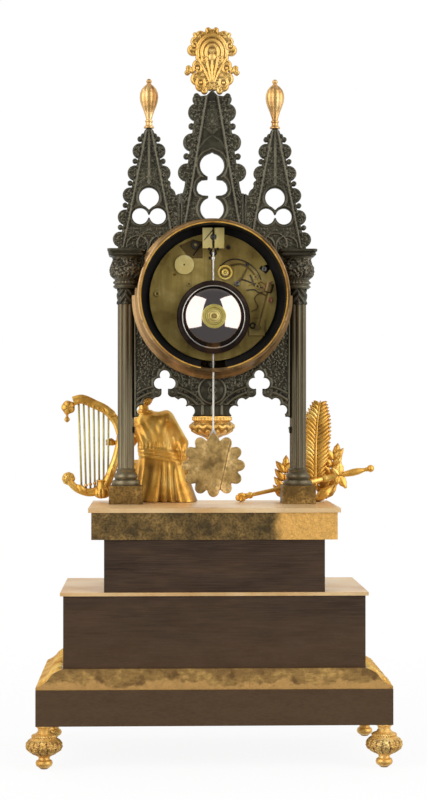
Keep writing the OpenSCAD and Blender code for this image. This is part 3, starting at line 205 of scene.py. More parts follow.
METALS = {
    "gilt": dict(
        tones=((192, 138, 56), (232, 178, 80), (252, 214, 122)), rough=(0.32, 0.48), metallic=0.66,
        patch=44, grain=1400, dirt_and_shade=(92, 60, 24), crevice=0.0022),
    "pale_gilt": dict(
        tones=((216, 168, 84), (236, 190, 104), (248, 214, 140)), rough=(0.36, 0.5), metallic=0.7, patch=24,
        grain=1400, grain_depth=0.00005, dirt_and_shade=(110, 74, 30), crevice=0.002),
    "foot_gilt": dict(
        tones=((196, 148, 72), (226, 180, 98), (248, 214, 138)), rough=(0.4, 0.56), metallic=0.6, patch=40,
        grain=1400, dirt_and_shade=(104, 70, 34), crevice=0.002),
    "drop_gilt": dict(
        tones=((170, 124, 72), (218, 174, 108), (244, 212, 156)), rough=(0.3, 0.42), metallic=0.75,
        patch=90, grain=1400, grain_depth=0.00005, stretch=(1, 1, 0.3), dirt_and_shade=(104, 68, 36), crevice=0.002),
    "gilt_plate": dict(
        tones=((224, 180, 122), (240, 204, 150), (248, 220, 176)), rough=(0.34, 0.46), metallic=0.55,
        patch=10, grain=500, dirt_and_shade=(150, 104, 56), dirt_and_shade_share=0.5),
    "gilt_rough": dict(
        tones=((108, 84, 40), (138, 109, 56), (178, 143, 82)), rough=(0.42, 0.62), metallic=0.6, patch=90,
        streak=(520, (1, 1, 1), 0.6, (78, 60, 32)), grain=700, grain_depth=0.00016, dirt_and_shade=(64, 46, 22)),
    "bob_gilt": dict(
        tones=((134, 108, 62), (186, 154, 94), (244, 208, 142)), rough=(0.4, 0.58), metallic=0.6, patch=56,
        grain=520, grain_depth=0.0001, streak=(300, (1, 1, 1), 0.4, (112, 90, 50)), dirt_and_shade=(64, 46, 22)),
    "cornice_gilt": dict(
        tones=((84, 70, 42), (118, 95, 54), (152, 122, 70)), rough=(0.4, 0.6), metallic=0.6, patch=90,
        streak=(520, (1, 1, 1), 0.55, (62, 46, 26)), grain=700, grain_depth=0.00014, dirt_and_shade=(52, 38, 20),
        fade=(("X", -0.044, -0.056, (244, 190, 104)), ("Y", 0.068, 0.06, (244, 190, 104)))),
    "moulding_gilt": dict(
        tones=((122, 92, 52), (164, 130, 74), (206, 166, 96)), rough=(0.4, 0.6), metallic=0.6, patch=90,
        streak=(420, (0.3, 1, 1), 0.35, (104, 76, 42)), grain_depth=0.0001, dirt_and_shade=(60, 44, 20),
        fade=(("Z", 0.074, 0.084, (126, 96, 56)), ("Z", 0.0695, 0.066, (204, 160, 96)))),
    "patina": dict(
        tones=((58, 55, 42), (72, 69, 54), (88, 84, 67)), rough=(0.34, 0.5), metallic=0.6, patch=60,
        grain=1500, grain_depth=0.00008, dirt_and_shade=(17, 14, 11), dirt_and_shade_share=0.97, crest=(102, 98, 80)),
    # The same patina in lighter tones for the capitals: painted light.
    "lit_capital_patina": dict(
        tones=((78, 72, 56), (98, 92, 74), (118, 111, 92)), rough=(0.34, 0.48), metallic=0.6, patch=60,
        grain=1500, grain_depth=0.00008, dirt_and_shade=(20, 17, 13), dirt_and_shade_share=0.9, crevice=0.0025),
    "column_patina": dict(
        tones=((76, 70, 52), (99, 91, 70), (124, 114, 88)), rough=(0.34, 0.48), metallic=0.62, patch=30,
        grain=1500, stretch=(1, 1, 0.1), dirt_and_shade=(34, 28, 22),
        streak=(240, (1.0, 1.0, 0.02), 0.35, (84, 66, 46))),
    "dark_bronze": dict(
        tones=((51, 38, 28), (61, 46, 34), (73, 55, 40)), rough=(0.42, 0.55), metallic=0.35, patch=60,
        grain=1100, grain_depth=0.00003, stretch=(0.25, 0.25, 1.0), dirt_and_shade=(30, 21, 16), dirt_and_shade_share=0.4,
        specular=0.35, streak=(1300, (0.03, 0.03, 1.0), 0.3, (92, 70, 54)),
        fade=(("Z", 0.16, 0.03, (88, 68, 47)),)),
    "iron": dict(
        tones=((60, 56, 54), (88, 84, 80), (120, 114, 106)), rough=(0.4, 0.6), dirt_and_shade=(50, 30, 20)),
    "steel": dict(
        tones=((120, 118, 116), (160, 158, 154), (196, 192, 186)), rough=(0.2, 0.35), dirt_and_shade=(60, 46, 34),
        dirt_and_shade_share=0.5),
    "blued_steel": dict(
        tones=((14, 22, 64), (22, 36, 100), (40, 60, 140)), rough=(0.16, 0.3)),
    "plate_brass": dict(
        tones=((132, 110, 52), (168, 146, 78), (198, 176, 108)), rough=(0.3, 0.45), metallic=0.5, patch=30,
        dirt_and_shade=(46, 34, 14), dirt_and_shade_share=0.7, streak=(160, (1.0, 1.0, 0.08), 0.35, (120, 96, 46))),
    "dark_brass": dict(
        tones=((72, 58, 30), (98, 80, 42), (126, 104, 58)), rough=(0.34, 0.5), metallic=0.6, patch=60,
        dirt_and_shade=(30, 22, 10)),
    "click_brass": dict(
        tones=((206, 168, 74), (238, 204, 104), (252, 228, 146)), rough=(0.2, 0.32), metallic=0.3, patch=60,
        dirt_and_shade=(40, 28, 8), dirt_and_shade_share=1.0),
    "brass": dict(
        tones=((176, 140, 62), (212, 176, 92), (236, 206, 128)), rough=(0.2, 0.36), dirt_and_shade=(70, 50, 20),
        dirt_and_shade_share=0.6),
    "bell_metal": dict(
        tones=((172, 160, 158), (178, 166, 162), (184, 172, 168)), rough=(0.05, 0.08), grain=1500,
        grain_depth=0.000004),
    "silk": dict(
        tones=((150, 130, 96), (180, 160, 120), (200, 184, 150)), rough=(0.7, 0.9), metallic=0.0),
    "copper_gilt": dict(
        tones=((92, 72, 46), (146, 114, 72), (206, 160, 106)), rough=(0.32, 0.48), metallic=0.7, patch=34,
        grain=800, grain_depth=0.0001, dirt_and_shade=(84, 54, 28), dirt_and_shade_share=0.7,
        # The fade along X makes the drum's left side paler: a painted highlight where the light falls.
        fade=(("X", 0.036, 0.054, (222, 180, 126)),)),
    "bright_steel": dict(
        tones=((176, 172, 164), (202, 199, 192), (222, 219, 212)), rough=(0.26, 0.34), metallic=0.55,
        patch=14, grain=400, grain_depth=0.000002),
    "pale_brass": dict(
        tones=((188, 166, 96), (216, 196, 122), (236, 220, 154)), rough=(0.3, 0.42), metallic=0.35,
        patch=30, dirt_and_shade=(70, 54, 26), dirt_and_shade_share=0.6),
    "olive_brass": dict(
        tones=((160, 144, 74), (190, 176, 98), (214, 202, 128)), rough=(0.28, 0.4), metallic=0.45, patch=50,
        dirt_and_shade=(60, 48, 20), dirt_and_shade_share=0.6),
    "bell_rim": dict(
        tones=((44, 34, 30), (62, 50, 46), (84, 68, 60)), rough=(0.3, 0.42), metallic=0.7, patch=60),
    "hammer_copper": dict(
        tones=((150, 96, 70), (190, 136, 108), (220, 176, 150)), rough=(0.3, 0.44), metallic=0.8, patch=60),
    "ink": dict(
        tones=((16, 14, 16), (22, 20, 22), (30, 28, 30)), rough=(0.3, 0.4), metallic=0.0, patch=80),
    # Black, also used for sheets of painted shade.
    "blacking_and_shade": dict(
        tones=((14, 12, 10), (22, 18, 15), (34, 28, 22)), rough=(0.5, 0.7), metallic=0.3),
}
MATERIALS = {name: metal(name, **finish) for name, finish in METALS.items()}


def enamel():
    g = surface("enamel")
    cloud = g.mix(g.span(g.noise(12, 3), 0.3, 0.7), linear(236, 232, 220), linear(246, 243, 234))
    g.fill(g.shader, Base_Color=cloud, Roughness=0.12, Coat_Weight=0.5)
    g.bump(g.noise(30, 2), 0.3, 0.00005)
    return g.material


def clear_glass():
    g = surface("glass")
    smear = g.span(g.noise(40, 3), 0.3, 0.7, 0.0, 0.03)
    g.fill(g.shader, Base_Color=(0.96, 0.98, 0.97, 1), Roughness=smear, Transmission_Weight=1.0, IOR=1.2)
    return g.material


MATERIALS["enamel"] = enamel()
MATERIALS["glass"] = clear_glass()

FINISH = {
    "gilt": ["feet", "harpist", "harpist_head", "harp", "trophy", "bezel", "hinge_pin"],
    "pale_gilt": ["palmette", "drop_finials", "pendant_boss"],
    "moulding_gilt": ["base_moulding"],
    "gilt_plate": ["lower_cover", "top_plate"],
    "gilt_rough": ["column_blocks", "pendulum_bob", "bezel_seat"],
    "cornice_gilt": ["cornice"],
    "column_patina": ["columns"],
    "patina": ["capitals", "arcade", "centre_gable", "side_gables"],
    "dark_bronze": ["plinth", "lower_tier", "upper_tier"],
    "iron": ["tie_bar", "tie_rods"],
    "steel": ["case_screws", "regulator", "going_winder", "strike_winder", "pallets", "cannon_pinion",
              "minute_post"],
    "bright_steel": ["pendulum_rod"],
    "blued_steel": ["hour_hand", "minute_hand"],
    "plate_brass": ["front_plate", "back_plate", "plate_pillars", "bell_stand"],
    "pale_brass": ["suspension_block", "locking_disc"],
    "olive_brass": ["bell_nut"],
    "dark_brass": ["hammer"],
    "brass": ["going_barrel", "centre_wheel", "third_wheel", "escape_wheel", "minute_wheel", "hour_wheel",
              "strike_barrel", "strike_wheel", "pin_wheel", "fly"],
    "bell_metal": ["bell"],
    "silk": ["silk"],
    "copper_gilt": ["drum"],
    "enamel": ["dial"],
    "glass": ["glass"],
}
for look, names in FINISH.items():
    for n in names:
        NODES[n].data.materials.clear()
        NODES[n].data.materials.append(MATERIALS[look])


# Camera, light and floor

CAMERA_AT = (0.04536, 1.51644, 0.28632)
CAMERA_YAW, CAMERA_PITCH = -0.0307, 0.0023
CAMERA_LENS = 82.72
LAMP_AT = (1.42, 1.05, 0.78)
LAMP_AIM = Vector((0, 0, 0.33))
LAMP_SIZE = (1.7, 2.7)
LAMP_POWER = 39
FLOOR_R = 0.75
FLOOR_FADE = (0.3, 0.7)


def place(name, data):
    made = bpy.data.objects.new(name, data)
    bpy.context.scene.collection.objects.link(made)
    return made


def build_camera():
    cam = place("camera", bpy.data.cameras.new("camera"))
    cam.data.sensor_width = 36
    cam.data.lens = CAMERA_LENS
    cam.data.clip_end = 60
    cam.location = CAMERA_AT
    level = math.cos(CAMERA_PITCH)
    ahead = Vector((math.sin(CAMERA_YAW) * level, -math.cos(CAMERA_YAW) * level, math.sin(CAMERA_PITCH)))
    cam.rotation_euler = ahead.to_track_quat("-Z", "Y").to_euler()
    bpy.context.scene.camera = cam


def build_lamps():
    for side in (-1, 1):
        lamp = bpy.data.lights.new(f"softbox_{side}", "AREA")
        lamp.shape = "RECTANGLE"
        lamp.size, lamp.size_y = LAMP_SIZE
        lamp.energy = LAMP_POWER
        lamp.color = (1.0, 0.965, 0.93)
        o = place(lamp.name, lamp)
        o.location = (LAMP_AT[0] * side, *LAMP_AT[1:])
        o.rotation_euler = (LAMP_AIM - o.location).to_track_quat("-Z", "Y").to_euler()
        o.visible_camera = False


def build_world():
    """A soft room to be mirrored in the metal, which the camera sees as white."""
    world = bpy.data.worlds.new("studio")
    bpy.context.scene.world = world
    world.use_nodes = True
    g = Graph(world.node_tree, "ShaderNodeOutputWorld")
    g.coords = g.add("ShaderNodeTexCoord").outputs["Generated"]
    white, room = g.add("ShaderNodeBackground"), g.add("ShaderNodeBackground")
    g.feed((1, 1, 1, 1), white.inputs[0])
    g.feed((0.94, 0.97, 1.0, 1), room.inputs[0])
    g.feed(g.span(g.along("Y"), -0.25, 0.35, 0.9, 0.16), room.inputs[1])
    path = g.add("ShaderNodeLightPath").outputs
    seen = g.math("MAXIMUM", path["Is Camera Ray"], path["Is Transmission Ray"])
    g.feed(g.mix_shader(seen, room.outputs[0], white.outputs[0]), g.out.inputs[0])


def build_floor():
    """A pale disc that keeps the shadow, fades out at its edge and isn't mirrored."""
    floor = place("floor", bpy.data.meshes.new("floor"))
    turns = np.linspace(0, 2 * math.pi, 96, endpoint=False)
    rim = [(FLOOR_R * math.cos(a), FLOOR_R * math.sin(a), 0.0) for a in turns]
    floor.data.from_pydata(rim, [], [list(range(len(rim)))])
    material = bpy.data.materials.new("floor")
    material.use_nodes = True
    g = Graph(material.node_tree)
    matte, glow = g.add("ShaderNodeBsdfDiffuse"), g.add("ShaderNodeEmission")
    g.feed((0.93, 0.93, 0.93, 1), matte.inputs[0])
    g.feed((1, 1, 1, 1), glow.inputs[0])
    path = g.add("ShaderNodeLightPath").outputs
    seen = g.math("MULTIPLY", path["Is Camera Ray"], 0.91)
    reach = g.add("ShaderNodeVectorMath")
    reach.operation = "LENGTH"
    g.feed(g.add("ShaderNodeTexCoord").outputs["Object"], reach.inputs[0])
    gone = g.math("MAXIMUM", g.span(reach.outputs["Value"], *FLOOR_FADE), path["Is Glossy Ray"])
    lit = g.mix_shader(seen, matte.outputs[0], glow.outputs[0])
    clear = g.add("ShaderNodeBsdfTransparent").outputs[0]
    g.feed(g.mix_shader(gone, lit, clear), g.out.inputs[0])
    floor.data.materials.append(material)


build_camera()
build_lamps()
build_world()
build_floor()


# Mesh helpers

def add_mesh(name, verts, faces, look, body="root", slot=None, replace=(), recess=None, sharp=None):
    data = bpy.data.meshes.new(name)
    data.from_pydata((np.asarray(verts, float) * MM).tolist(), [], [list(map(int, f)) for f in faces])
    data.update()
    data.polygons.foreach_set("use_smooth", [True] * len(data.polygons))
    if sharp is not None:
        data.set_sharp_from_angle(angle=math.radians(sharp))
    if recess is not None:
        data.attributes.new("recess", "FLOAT", "POINT").data.foreach_set(
            "value", np.asarray(recess, np.float32))
    data.materials.append(MATERIALS[look])
    o = place(name, data)
    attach(o, body)
    if replace:
        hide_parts(*replace)
    return o


def circle(x, z, cx, cz, r):
    return np.hypot(x - cx, z - cz) - r


def union(*shapes):
    return np.minimum.reduce(shapes)


def highest(*heights):
    return np.maximum.reduce(heights)


def cut(shape, *holes):
    return np.maximum.reduce([shape, *(-h for h in holes)])


def polygon(x, z, points):
    """Distance to the edge of a closed outline, below 0 inside it."""
    d, inside = np.full(x.shape, 1e9), np.zeros(x.shape, bool)
    for (ax, az), (bx, bz) in zip(points, points[1:] + points[:1]):
        ex, ez = bx - ax, bz - az
        t = np.clip(((x - ax) * ex + (z - az) * ez) / (ex * ex + ez * ez + 1e-12), 0, 1)
        d = np.minimum(d, np.hypot(x - ax - t * ex, z - az - t * ez))
        level = ez if abs(ez) > 1e-9 else 1e-9
        inside ^= ((az > z) != (bz > z)) & (x < ex * (z - az) / level + ax)
    return np.where(inside, -d, d)


def rectangle(x, z, x0, x1, z0, z1):
    return np.maximum(np.maximum(x0 - x, x - x1), np.maximum(z0 - z, z - z1))


def line(x, z, a, b):
    """Distance to a straight line from a to b."""
    ex, ez = b[0] - a[0], b[1] - a[1]
    t = np.clip(((x - a[0]) * ex + (z - a[1]) * ez) / (ex * ex + ez * ez), 0, 1)
    return np.hypot(x - a[0] - t * ex, z - a[1] - t * ez)


def ridge(d, w):
    """A round ridge of half width w along d = 0, from 0 to 1."""
    return np.sqrt(np.clip(1 - (d / w) ** 2, 0, 1))


def smooth(value, low, high):
    t = np.clip((value - low) / (high - low), 0, 1)
    return t * t * (3 - 2 * t)


def foliage(x, z, size):
    """Dense curling leaves, as heights from 0 to 1."""
    a, b = x / size, z / size
    u = a + 0.6 * np.sin(1.9 * b) + 0.35 * np.sin(2.3 * a + 1.1 * b)
    w = b + 0.6 * np.sin(1.7 * a + 0.6) + 0.35 * np.sin(2.1 * b - 1.3 * a)
    leaves = np.sin(2.1 * u) * np.sin(2.3 * w) + 0.5 * np.sin(3.7 * u + 1.9 * w)
    veins = 0.25 * np.abs(np.sin(5.1 * u - 3.3 * w))
    return np.clip(smooth(leaves, -0.55, 0.55) - veins, 0, 1)


def blurred(values, n):
    """Means over squares of 2 n + 1 samples, taken twice."""
    for axis in (0, 1, 0, 1):
        pad = [(0, 0), (0, 0)]
        pad[axis] = (n + 1, n)
        c = np.cumsum(np.pad(values, pad), axis)
        take = np.arange(values.shape[axis])
        values = (np.take(c, take + 2 * n + 1, axis) - np.take(c, take, axis)) / (2 * n + 1)
    return values


def angles(count):
    return np.arange(count) * 2 * math.pi / count


def grid_quads(rows, columns, wrap=False, start=0, flip=False):
    """Quads between neighbours in a grid of points, which are numbered row by row."""
    i, j = np.meshgrid(np.arange(rows - 1), np.arange(columns - (not wrap)), indexing="ij")
    a, b = start + i * columns + j, start + i * columns + (j + 1) % columns
    ring = [a, a + columns, b + columns, b] if flip else [a, b, b + columns, a + columns]
    return np.stack(ring, -1).reshape(-1, 4).tolist()


def shell(upper, lower, flip=False):
    """A closed sheet between two grids of points."""
    rows, columns = upper.shape[:2]
    n = rows * columns
    number = np.arange(n).reshape(rows, columns)
    rim = [*number[0, :-1], *number[:-1, -1], *number[-1, :0:-1], *number[:0:-1, 0]]
    rim = [int(i) for i in (rim[::-1] if flip else rim)]
    faces = grid_quads(rows, columns, flip=flip) + grid_quads(rows, columns, start=n, flip=not flip)
    faces += [[b, a, a + n, b + n] for a, b in zip(rim, rim[1:] + rim[:1])]
    return np.concatenate([upper.reshape(-1, 3), lower.reshape(-1, 3)]), faces


def relief(name, outline, height, span, step, y, thick, look, edge=1.0, depth=0.35, gain=1.0, **kw):
    """A plate cut to an outline, with the same carved relief on both faces. outline(x, z) is below 0
    inside; height(x, z, d) is how far a point stands above the plate, d being its way to the edge."""
    xs = np.arange(span[0] - step, span[1] + 1.5 * step, step)
    zs = np.arange(span[2] - step, span[3] + 1.5 * step, step)
    X, Z = np.meshgrid(xs, zs, indexing="ij")
    S = outline(X, Z)
    S = np.where(np.abs(S) < 1e-5, 1e-5, S)
    inside = S < 0
    count = int(inside.sum())
    ids = np.full(S.shape, -1)
    ids[inside] = np.arange(count)
    across = inside[:-1, :] != inside[1:, :]
    along = inside[:, :-1] != inside[:, 1:]
    across_id = np.full(across.shape, -1)
    across_id[across] = count + np.arange(across.sum())
    along_id = np.full(along.shape, -1)
    along_id[along] = count + across.sum() + np.arange(along.sum())
    ta = (S[:-1, :] / (S[:-1, :] - S[1:, :] + 1e-15))[across]
    tl = (S[:, :-1] / (S[:, :-1] - S[:, 1:] + 1e-15))[along]
    px = np.concatenate([X[inside], X[:-1, :][across] + ta * step, X[:, :-1][along]])
    pz = np.concatenate([Z[inside], Z[:-1, :][across], Z[:, :-1][along] + tl * step])
    corner = [ids[:-1, :-1], ids[1:, :-1], ids[1:, 1:], ids[:-1, 1:]]
    side = [across_id[:, :-1], along_id[1:, :], across_id[:, 1:], along_id[:-1, :]]
    code = sum((c >= 0).astype(int) << k for k, c in enumerate(corner))
    front, walls = [], []
    for case in range(1, 16):
        cells = code == case
        if not cells.any():
            continue
        ring, leaving = [], []
        for k in range(4):
            here, after = case >> k & 1, case >> (k + 1) % 4 & 1
            if here:
                ring.append(corner[k][cells])
            if here != after:
                if here:
                    leaving.append(len(ring))
                ring.append(side[k][cells])
        front += np.stack(ring, 1).tolist()
        for m in leaving:
            walls += np.stack([ring[m], ring[(m + 1) % len(ring)]], 1).tolist()
    tree = kdtree.KDTree(len(px) - count)
    for i in range(count, len(px)):
        tree.insert((px[i], pz[i], 0), i)
    tree.balance()
    d = np.zeros(len(px))
    d[:count] = [tree.find((px[i], pz[i], 0))[2] for i in range(count)]
    h = gain * height(px, pz, d) * np.clip(d / edge, 0, 1)
    grid, mask = np.zeros(S.shape), inside.astype(float)
    grid[inside] = h[:count]
    n = max(2, int(round(1.6 / step)))
    local = blurred(grid, n) / np.maximum(blurred(mask, n), 1e-6)
    hollow = np.zeros(len(px))
    hollow[:count] = np.clip((local[inside] - h[:count]) / depth, -1, 1)
    near = edge - np.minimum(d, edge)
    half = thick / 2 + h - (edge - np.sqrt(edge * edge - near * near))
    total = len(px)
    verts = np.concatenate([np.stack([px, y - half, pz], 1), np.stack([px, y + half, pz], 1)])
    faces = front + [[i + total for i in reversed(f)] for f in front]
    faces += [[b, a, a + total, b + total] for a, b in walls]
    return add_mesh(name, verts, faces, look, recess=np.concatenate([hollow, hollow]), **kw)


def turned(name, profile, sides, look, centre, ripple, fine, axis="z", **kw):
    """A turned piece. profile lists (radius, height); ripple(angle, height, radius) is added to the
    radius and may return its hollows too."""
    p = np.array(profile, float)
    length = np.concatenate([[0], np.cumsum(np.hypot(*np.diff(p, axis=0).T))])
    steps = max(2, int(length[-1] / fine))
    s = np.unique(np.concatenate([np.linspace(0, length[-1], steps), length]))
    r, h = np.interp(s, length, p[:, 0]), np.interp(s, length, p[:, 1])
    A, H = np.meshgrid(angles(sides), h)
    R = np.repeat(r[:, None], sides, 1)
    hollow = np.zeros(R.shape)
    if ripple:
        extra = ripple(A, H, R)
        if isinstance(extra, tuple):
            extra, hollow = extra
        R = np.maximum(R + extra, 0)
    upright = axis == "z"
    v = np.stack([R * np.cos(A), R * np.sin(A), H] if upright else [R * np.cos(A), H, R * np.sin(A)], -1)
    faces = grid_quads(len(s), sides, wrap=True)
    ends = [list(range(sides))[::-1], list(range((len(s) - 1) * sides, len(s) * sides))]
    faces += [ring for ring, (radius, _) in zip(ends, (p[0], p[-1])) if radius > 1e-6]
    if not upright:
        faces = [f[::-1] for f in faces]
    return add_mesh(name, v.reshape(-1, 3) + np.array(centre, float), faces, look,
                    recess=hollow.ravel(), **kw)


# Facade: three gables and an arcade

def crocket_edge(x, z, x0, dx, n, pitch, r):
    """Round leaves down a gable's sloping edge, with a knob between each two."""
    lobes = [circle(x, z, x0 + dx * i - r, -pitch * i, r) for i in range(n)]
    knobs = [circle(x, z, x0 + dx * (i - 0.5) - r * 0.66, -pitch * (i - 0.5) + r * 0.12, r * 0.34)
             for i in range(n)]
    return union(*lobes, *knobs)


def centre_opening(x, z):
    z = z - DIAL_Z
    middle = polygon(np.abs(x), z, [(-1, 98.4), (3.6, 98.4), (8.6, 98), (11.4, 95.6), (12.5, 92.3),
                                    (12.5, 89.6), (11, 87), (8, 85.5), (3.1, 85.2), (-1, 85.2)])
    return union(circle(x, z, 0, 110.3, 9.9), polygon(x, z, [(-6.6, 117.2), (0, 121.2), (6.6, 117.2)]),
                 rectangle(x, z, -3.6, 3.6, 97, 103), middle,
                 rectangle(x, z, -3.1, 3.1, 81, 87), circle(x, z, 0, 74.4, 9.6))


def drum_hole(x, z):
    return circle(x, z, 0, DIAL_Z, DRUM_HOLE_R)


def valley_lobe(x, z):
    return circle(x, z, SPLIT_X - 1.5, GABLE_Z + 39, 7.4)


def centre_gable_outline(x, z):
    top, a = CENTRE_TOP, np.abs(x)
    body = polygon(a, z, [(-9, top), (0, top + 4.5), (4.6, top), (12.5, top - 1), (14, top - 14),
                          (23, DIAL_Z + 92), (26.4, DIAL_Z + 80), (26.4, DIAL_Z), (-9, DIAL_Z)])
    edge = crocket_edge(a, z - top + 14, 19.8, 4.2, 3, 24.8, 7.4)
    edge = union(edge, np.maximum(valley_lobe(a, z), a - SPLIT_X + 0.1))
    return cut(union(body, edge, circle(a, z, 12.2, top - 3.4, 4)), centre_opening(x, z), drum_hole(x, z))


def centre_gable_height(x, z, d):
    a, hole = np.abs(x), centre_opening(x, z)
    rib = (4.4 + (CENTRE_TOP - z) * 0.168 - a) * 0.986
    outer, inner = rib < -0.9, rib > 0.9
    h = ridge(rib, 0.95) * 1.1 + ridge(rib + 2.3, 0.6) * 0.4
    leaves = foliage(a + 3, z, 1.75)
    h = np.where(outer & (d > 1.5), 1.1 * leaves - 0.45, h)
    h = np.where(outer & (d <= 1.5), 0.4 * ridge(d - 0.9, 0.8), h)
    h = np.maximum(h, ridge(rib, 0.95) * 1.1)
    panel = -0.75 + 1.1 * foliage(a + 1, z + 5, 1.6) * ((z > 513) | (z < 456))
    panel = np.where(hole < 3.4, -0.25, panel)
    arch = np.hypot(a + 10.2, z - 486) - 23.8
    panel = highest(panel, np.where(z > 486, ridge(arch, 0.9) * 0.9 - 0.7, -1),
                    ridge(hole - 2.9, 0.7) * 0.55 - 0.1)
    pendant = line(a, z, (0, 509.5), (3.5, 513)) < 0.8
    panel = np.where(pendant, 0.2, panel)
    panel = np.where((z > 536) & (a < 5), -0.3, panel)
    return np.where(inner, panel, h)


def trefoil(x, z):
    return union(circle(x, z, 0, 15.4, 8.1), circle(np.abs(x), z, 7.2, 0, 6.65),
                 rectangle(x, z, -1.7, 1.7, -1.3, 1.3), polygon(x, z, [(-6.3, 11.1), (6.3, 11.1), (0, 5.3)]))


def side_gable_local(x, z):
    """A side gable about its own axis; x grows towards its outer edge."""
    first, top = 81.2, 100.0
    body = polygon(x, z, [(-1.6, top), (1.6, top), (6, first + 8), (9, first - 6), (23, 12), (26, 0),
                          (-23, 0), (-22.5, 40), (-9, first - 6), (-6, first + 8)])
    return union(body, crocket_edge(x, z - first, 13.6, 4.05, 5, 18.2, 6.2),
                 crocket_edge(-x, z - first, 13.6, 4.2, 3, 18.2, 6.2),
                 circle(x, z, 0, top - 4.25, 4.2), circle(np.abs(x), z, 4.6, top - 6.4, 2.1))


def side_gable_outline(sign):
    def outline(x, z):
        out = x * sign
        upper = np.maximum(side_gable_local(out - SIDE_X, z - GABLE_Z), SPLIT_X - GABLE_LAP - out)
        lower = rectangle(out, z, SPLIT_X - GABLE_LAP, COL_X - 15.2, GABLE_Z - 16, GABLE_Z + 38)
        lower = union(lower, np.maximum(valley_lobe(out, z), SPLIT_X + 0.1 - out))
        return cut(union(upper, lower), trefoil(out - SIDE_X, z - GABLE_Z - 27.5), drum_hole(x, z),
                   rectangle(out, z, 0, SPLIT_X + 0.1, GABLE_Z + 44, GABLE_Z + 144))
    return outline


def side_gable_height(sign):
    def height(x, z, d):
        u, v = x * sign - SIDE_X, z - GABLE_Z
        a, hole = np.abs(u), trefoil(u, v - 27.5)
        rib = (1.9 + (99 - v) * 0.196 - a) * 0.981
        leaves = foliage(a + 2, v, 1.65)
        outer = np.where(d > 1.4, 1.05 * leaves - 0.45, 0.35 * ridge(d - 0.9, 0.8))
        spine = np.where(v > 46, 1.1 * foliage(a, v * 1.1, 1.4) - 0.65, 0.9 * foliage(a + 5, v, 1.6) - 0.7)
        spine = np.where((v > 52) & (a < 0.7), 0.5, spine)
        arch = np.hypot(a + 9, v - 36) - 25.3
        spine = np.maximum(spine, np.where((v > 34) & (v < 62), ridge(arch, 0.8) * 0.9 - 0.5, -1))
        arches = np.minimum(np.abs(np.hypot(a - 9.5, v - 2) - 9), np.abs(np.hypot(a, v - 4) - 9.5))
        low = 1.05 * foliage(a + 4, v + 7, 1.6) - 0.6
        low = np.maximum(low, ridge(arches, 0.75) * 0.9 - 0.2)
        inner = np.where(v < 18, low, spine)
        inner = np.where(hole < 2.6, -0.1 + 0.5 * ridge(hole - 1.7, 0.8), inner)
        h = np.where(rib > 0, inner, outer)
        return np.maximum(h, ridge(rib, 0.85) * 1.05)
    return height


CUSPS = {1: [(10.5, -4.5), (16.8, -9.5), (21.2, -16.5), (24.6, -29.5)],
         -1: [(11.2, -4.5), (17.3, -9.6), (23.3, -18.0)]}


def arch_opening(x, z):
    """One cusped arch about its own axis; x grows towards the column."""
    z = z - ARCH_Z
    top = union(circle(x, z, 0, 15.7, 4.1), circle(np.abs(x), z, 4.3, 9, 4.5),
                rectangle(x, z, -2.6, 2.6, -2, 14))
    points = [(0, 2.5), (5, -1)] + CUSPS[1] + [(24.9, -40), (-25.2, -40)]
    points += [(-a, b) for a, b in reversed(CUSPS[-1])] + [(-6, -1)]
    bites = []
    for s, cusps in CUSPS.items():
        for (ax, az), (bx, bz) in zip(cusps, cusps[1:]):
            r = math.hypot(bx - ax, bz - az) / 2
            bites.append(circle(x * s, z, (ax + bx) / 2, (az + bz) / 2, min(r * 0.98, 4.4)))
    knobs = circle(np.abs(x), z, 6.6, 1.8, 4.3)
    return union(top, cut(union(polygon(x, z, points), *bites), knobs))


def arcade_outline(x, z):
    a = np.abs(x)
    edge = COL_X - 6.2
    body = rectangle(a, z, -1, edge, TOP_Z + 58, ABACUS_Z + 5)
    boss = union(rectangle(a, z, -1, 14.4, 0, BOSS_Z), rectangle(a, z, -1, 16, TOP_Z + 40, BOSS_Z),
                 rectangle(a, z, 9.9, 18.9, 240, BOSS_Z))
    return cut(body, drum_hole(x, z), arch_opening(a - ARCH_X, z), boss)


def arcade_height(x, z, d):
    a = np.abs(x)
    u, hole = a - ARCH_X, arch_opening(a - ARCH_X, z)
    arch = np.hypot(np.abs(u) - 3, (z - ARCH_Z + 34) * 0.92)
    h = 1.1 * foliage(a + 6, z, 1.65) - 0.6
    h = np.where(arch < 33.5, -0.6 + 0.9 * foliage(a, z + 3, 1.9) * (hole > 2.4), h)
    h = highest(h, ridge(hole - 1.2, 1.0) * 0.7 - 0.15, ridge(arch - 33.5, 1.0) * 1.1 - 0.1,
                ridge(arch - 37.6, 0.8) * 0.8 - 0.1)
    eye = np.hypot(np.abs(u) - 6.6, z - ARCH_Z - 1.8)
    h = np.where(eye < 4.2, 0.5 * ridge(eye, 4.2) - 0.35 * ridge(eye - 1.6, 0.6), h)
    border = COL_X - 6.2 - a
    h = np.where(border < 2.6, 0.7 * ridge(border - 1.3, 0.9), h)
    r, t = np.hypot(x, z - ROSE_Z), np.arctan2(z - ROSE_Z, x)
    rose = np.where(r < 10, 0.8 * np.abs(np.cos(2 * t)) * ridge(r - 5.5, 4.0) - 0.3, -0.3)
    rose = highest(rose, 0.9 * ridge(r, 2.0), ridge(r - 11, 0.8), 0.6 * ridge(r - 3.2, 0.6))
    h = np.where((r < 12) & (a < 13), rose, h)
    foot = (a < 17) & (z < 286)
    return np.where(foot, 0.6 * ridge(np.abs(a - 8), 1.0) + 0.6 * ridge(a, 1.0) - 0.3, h)


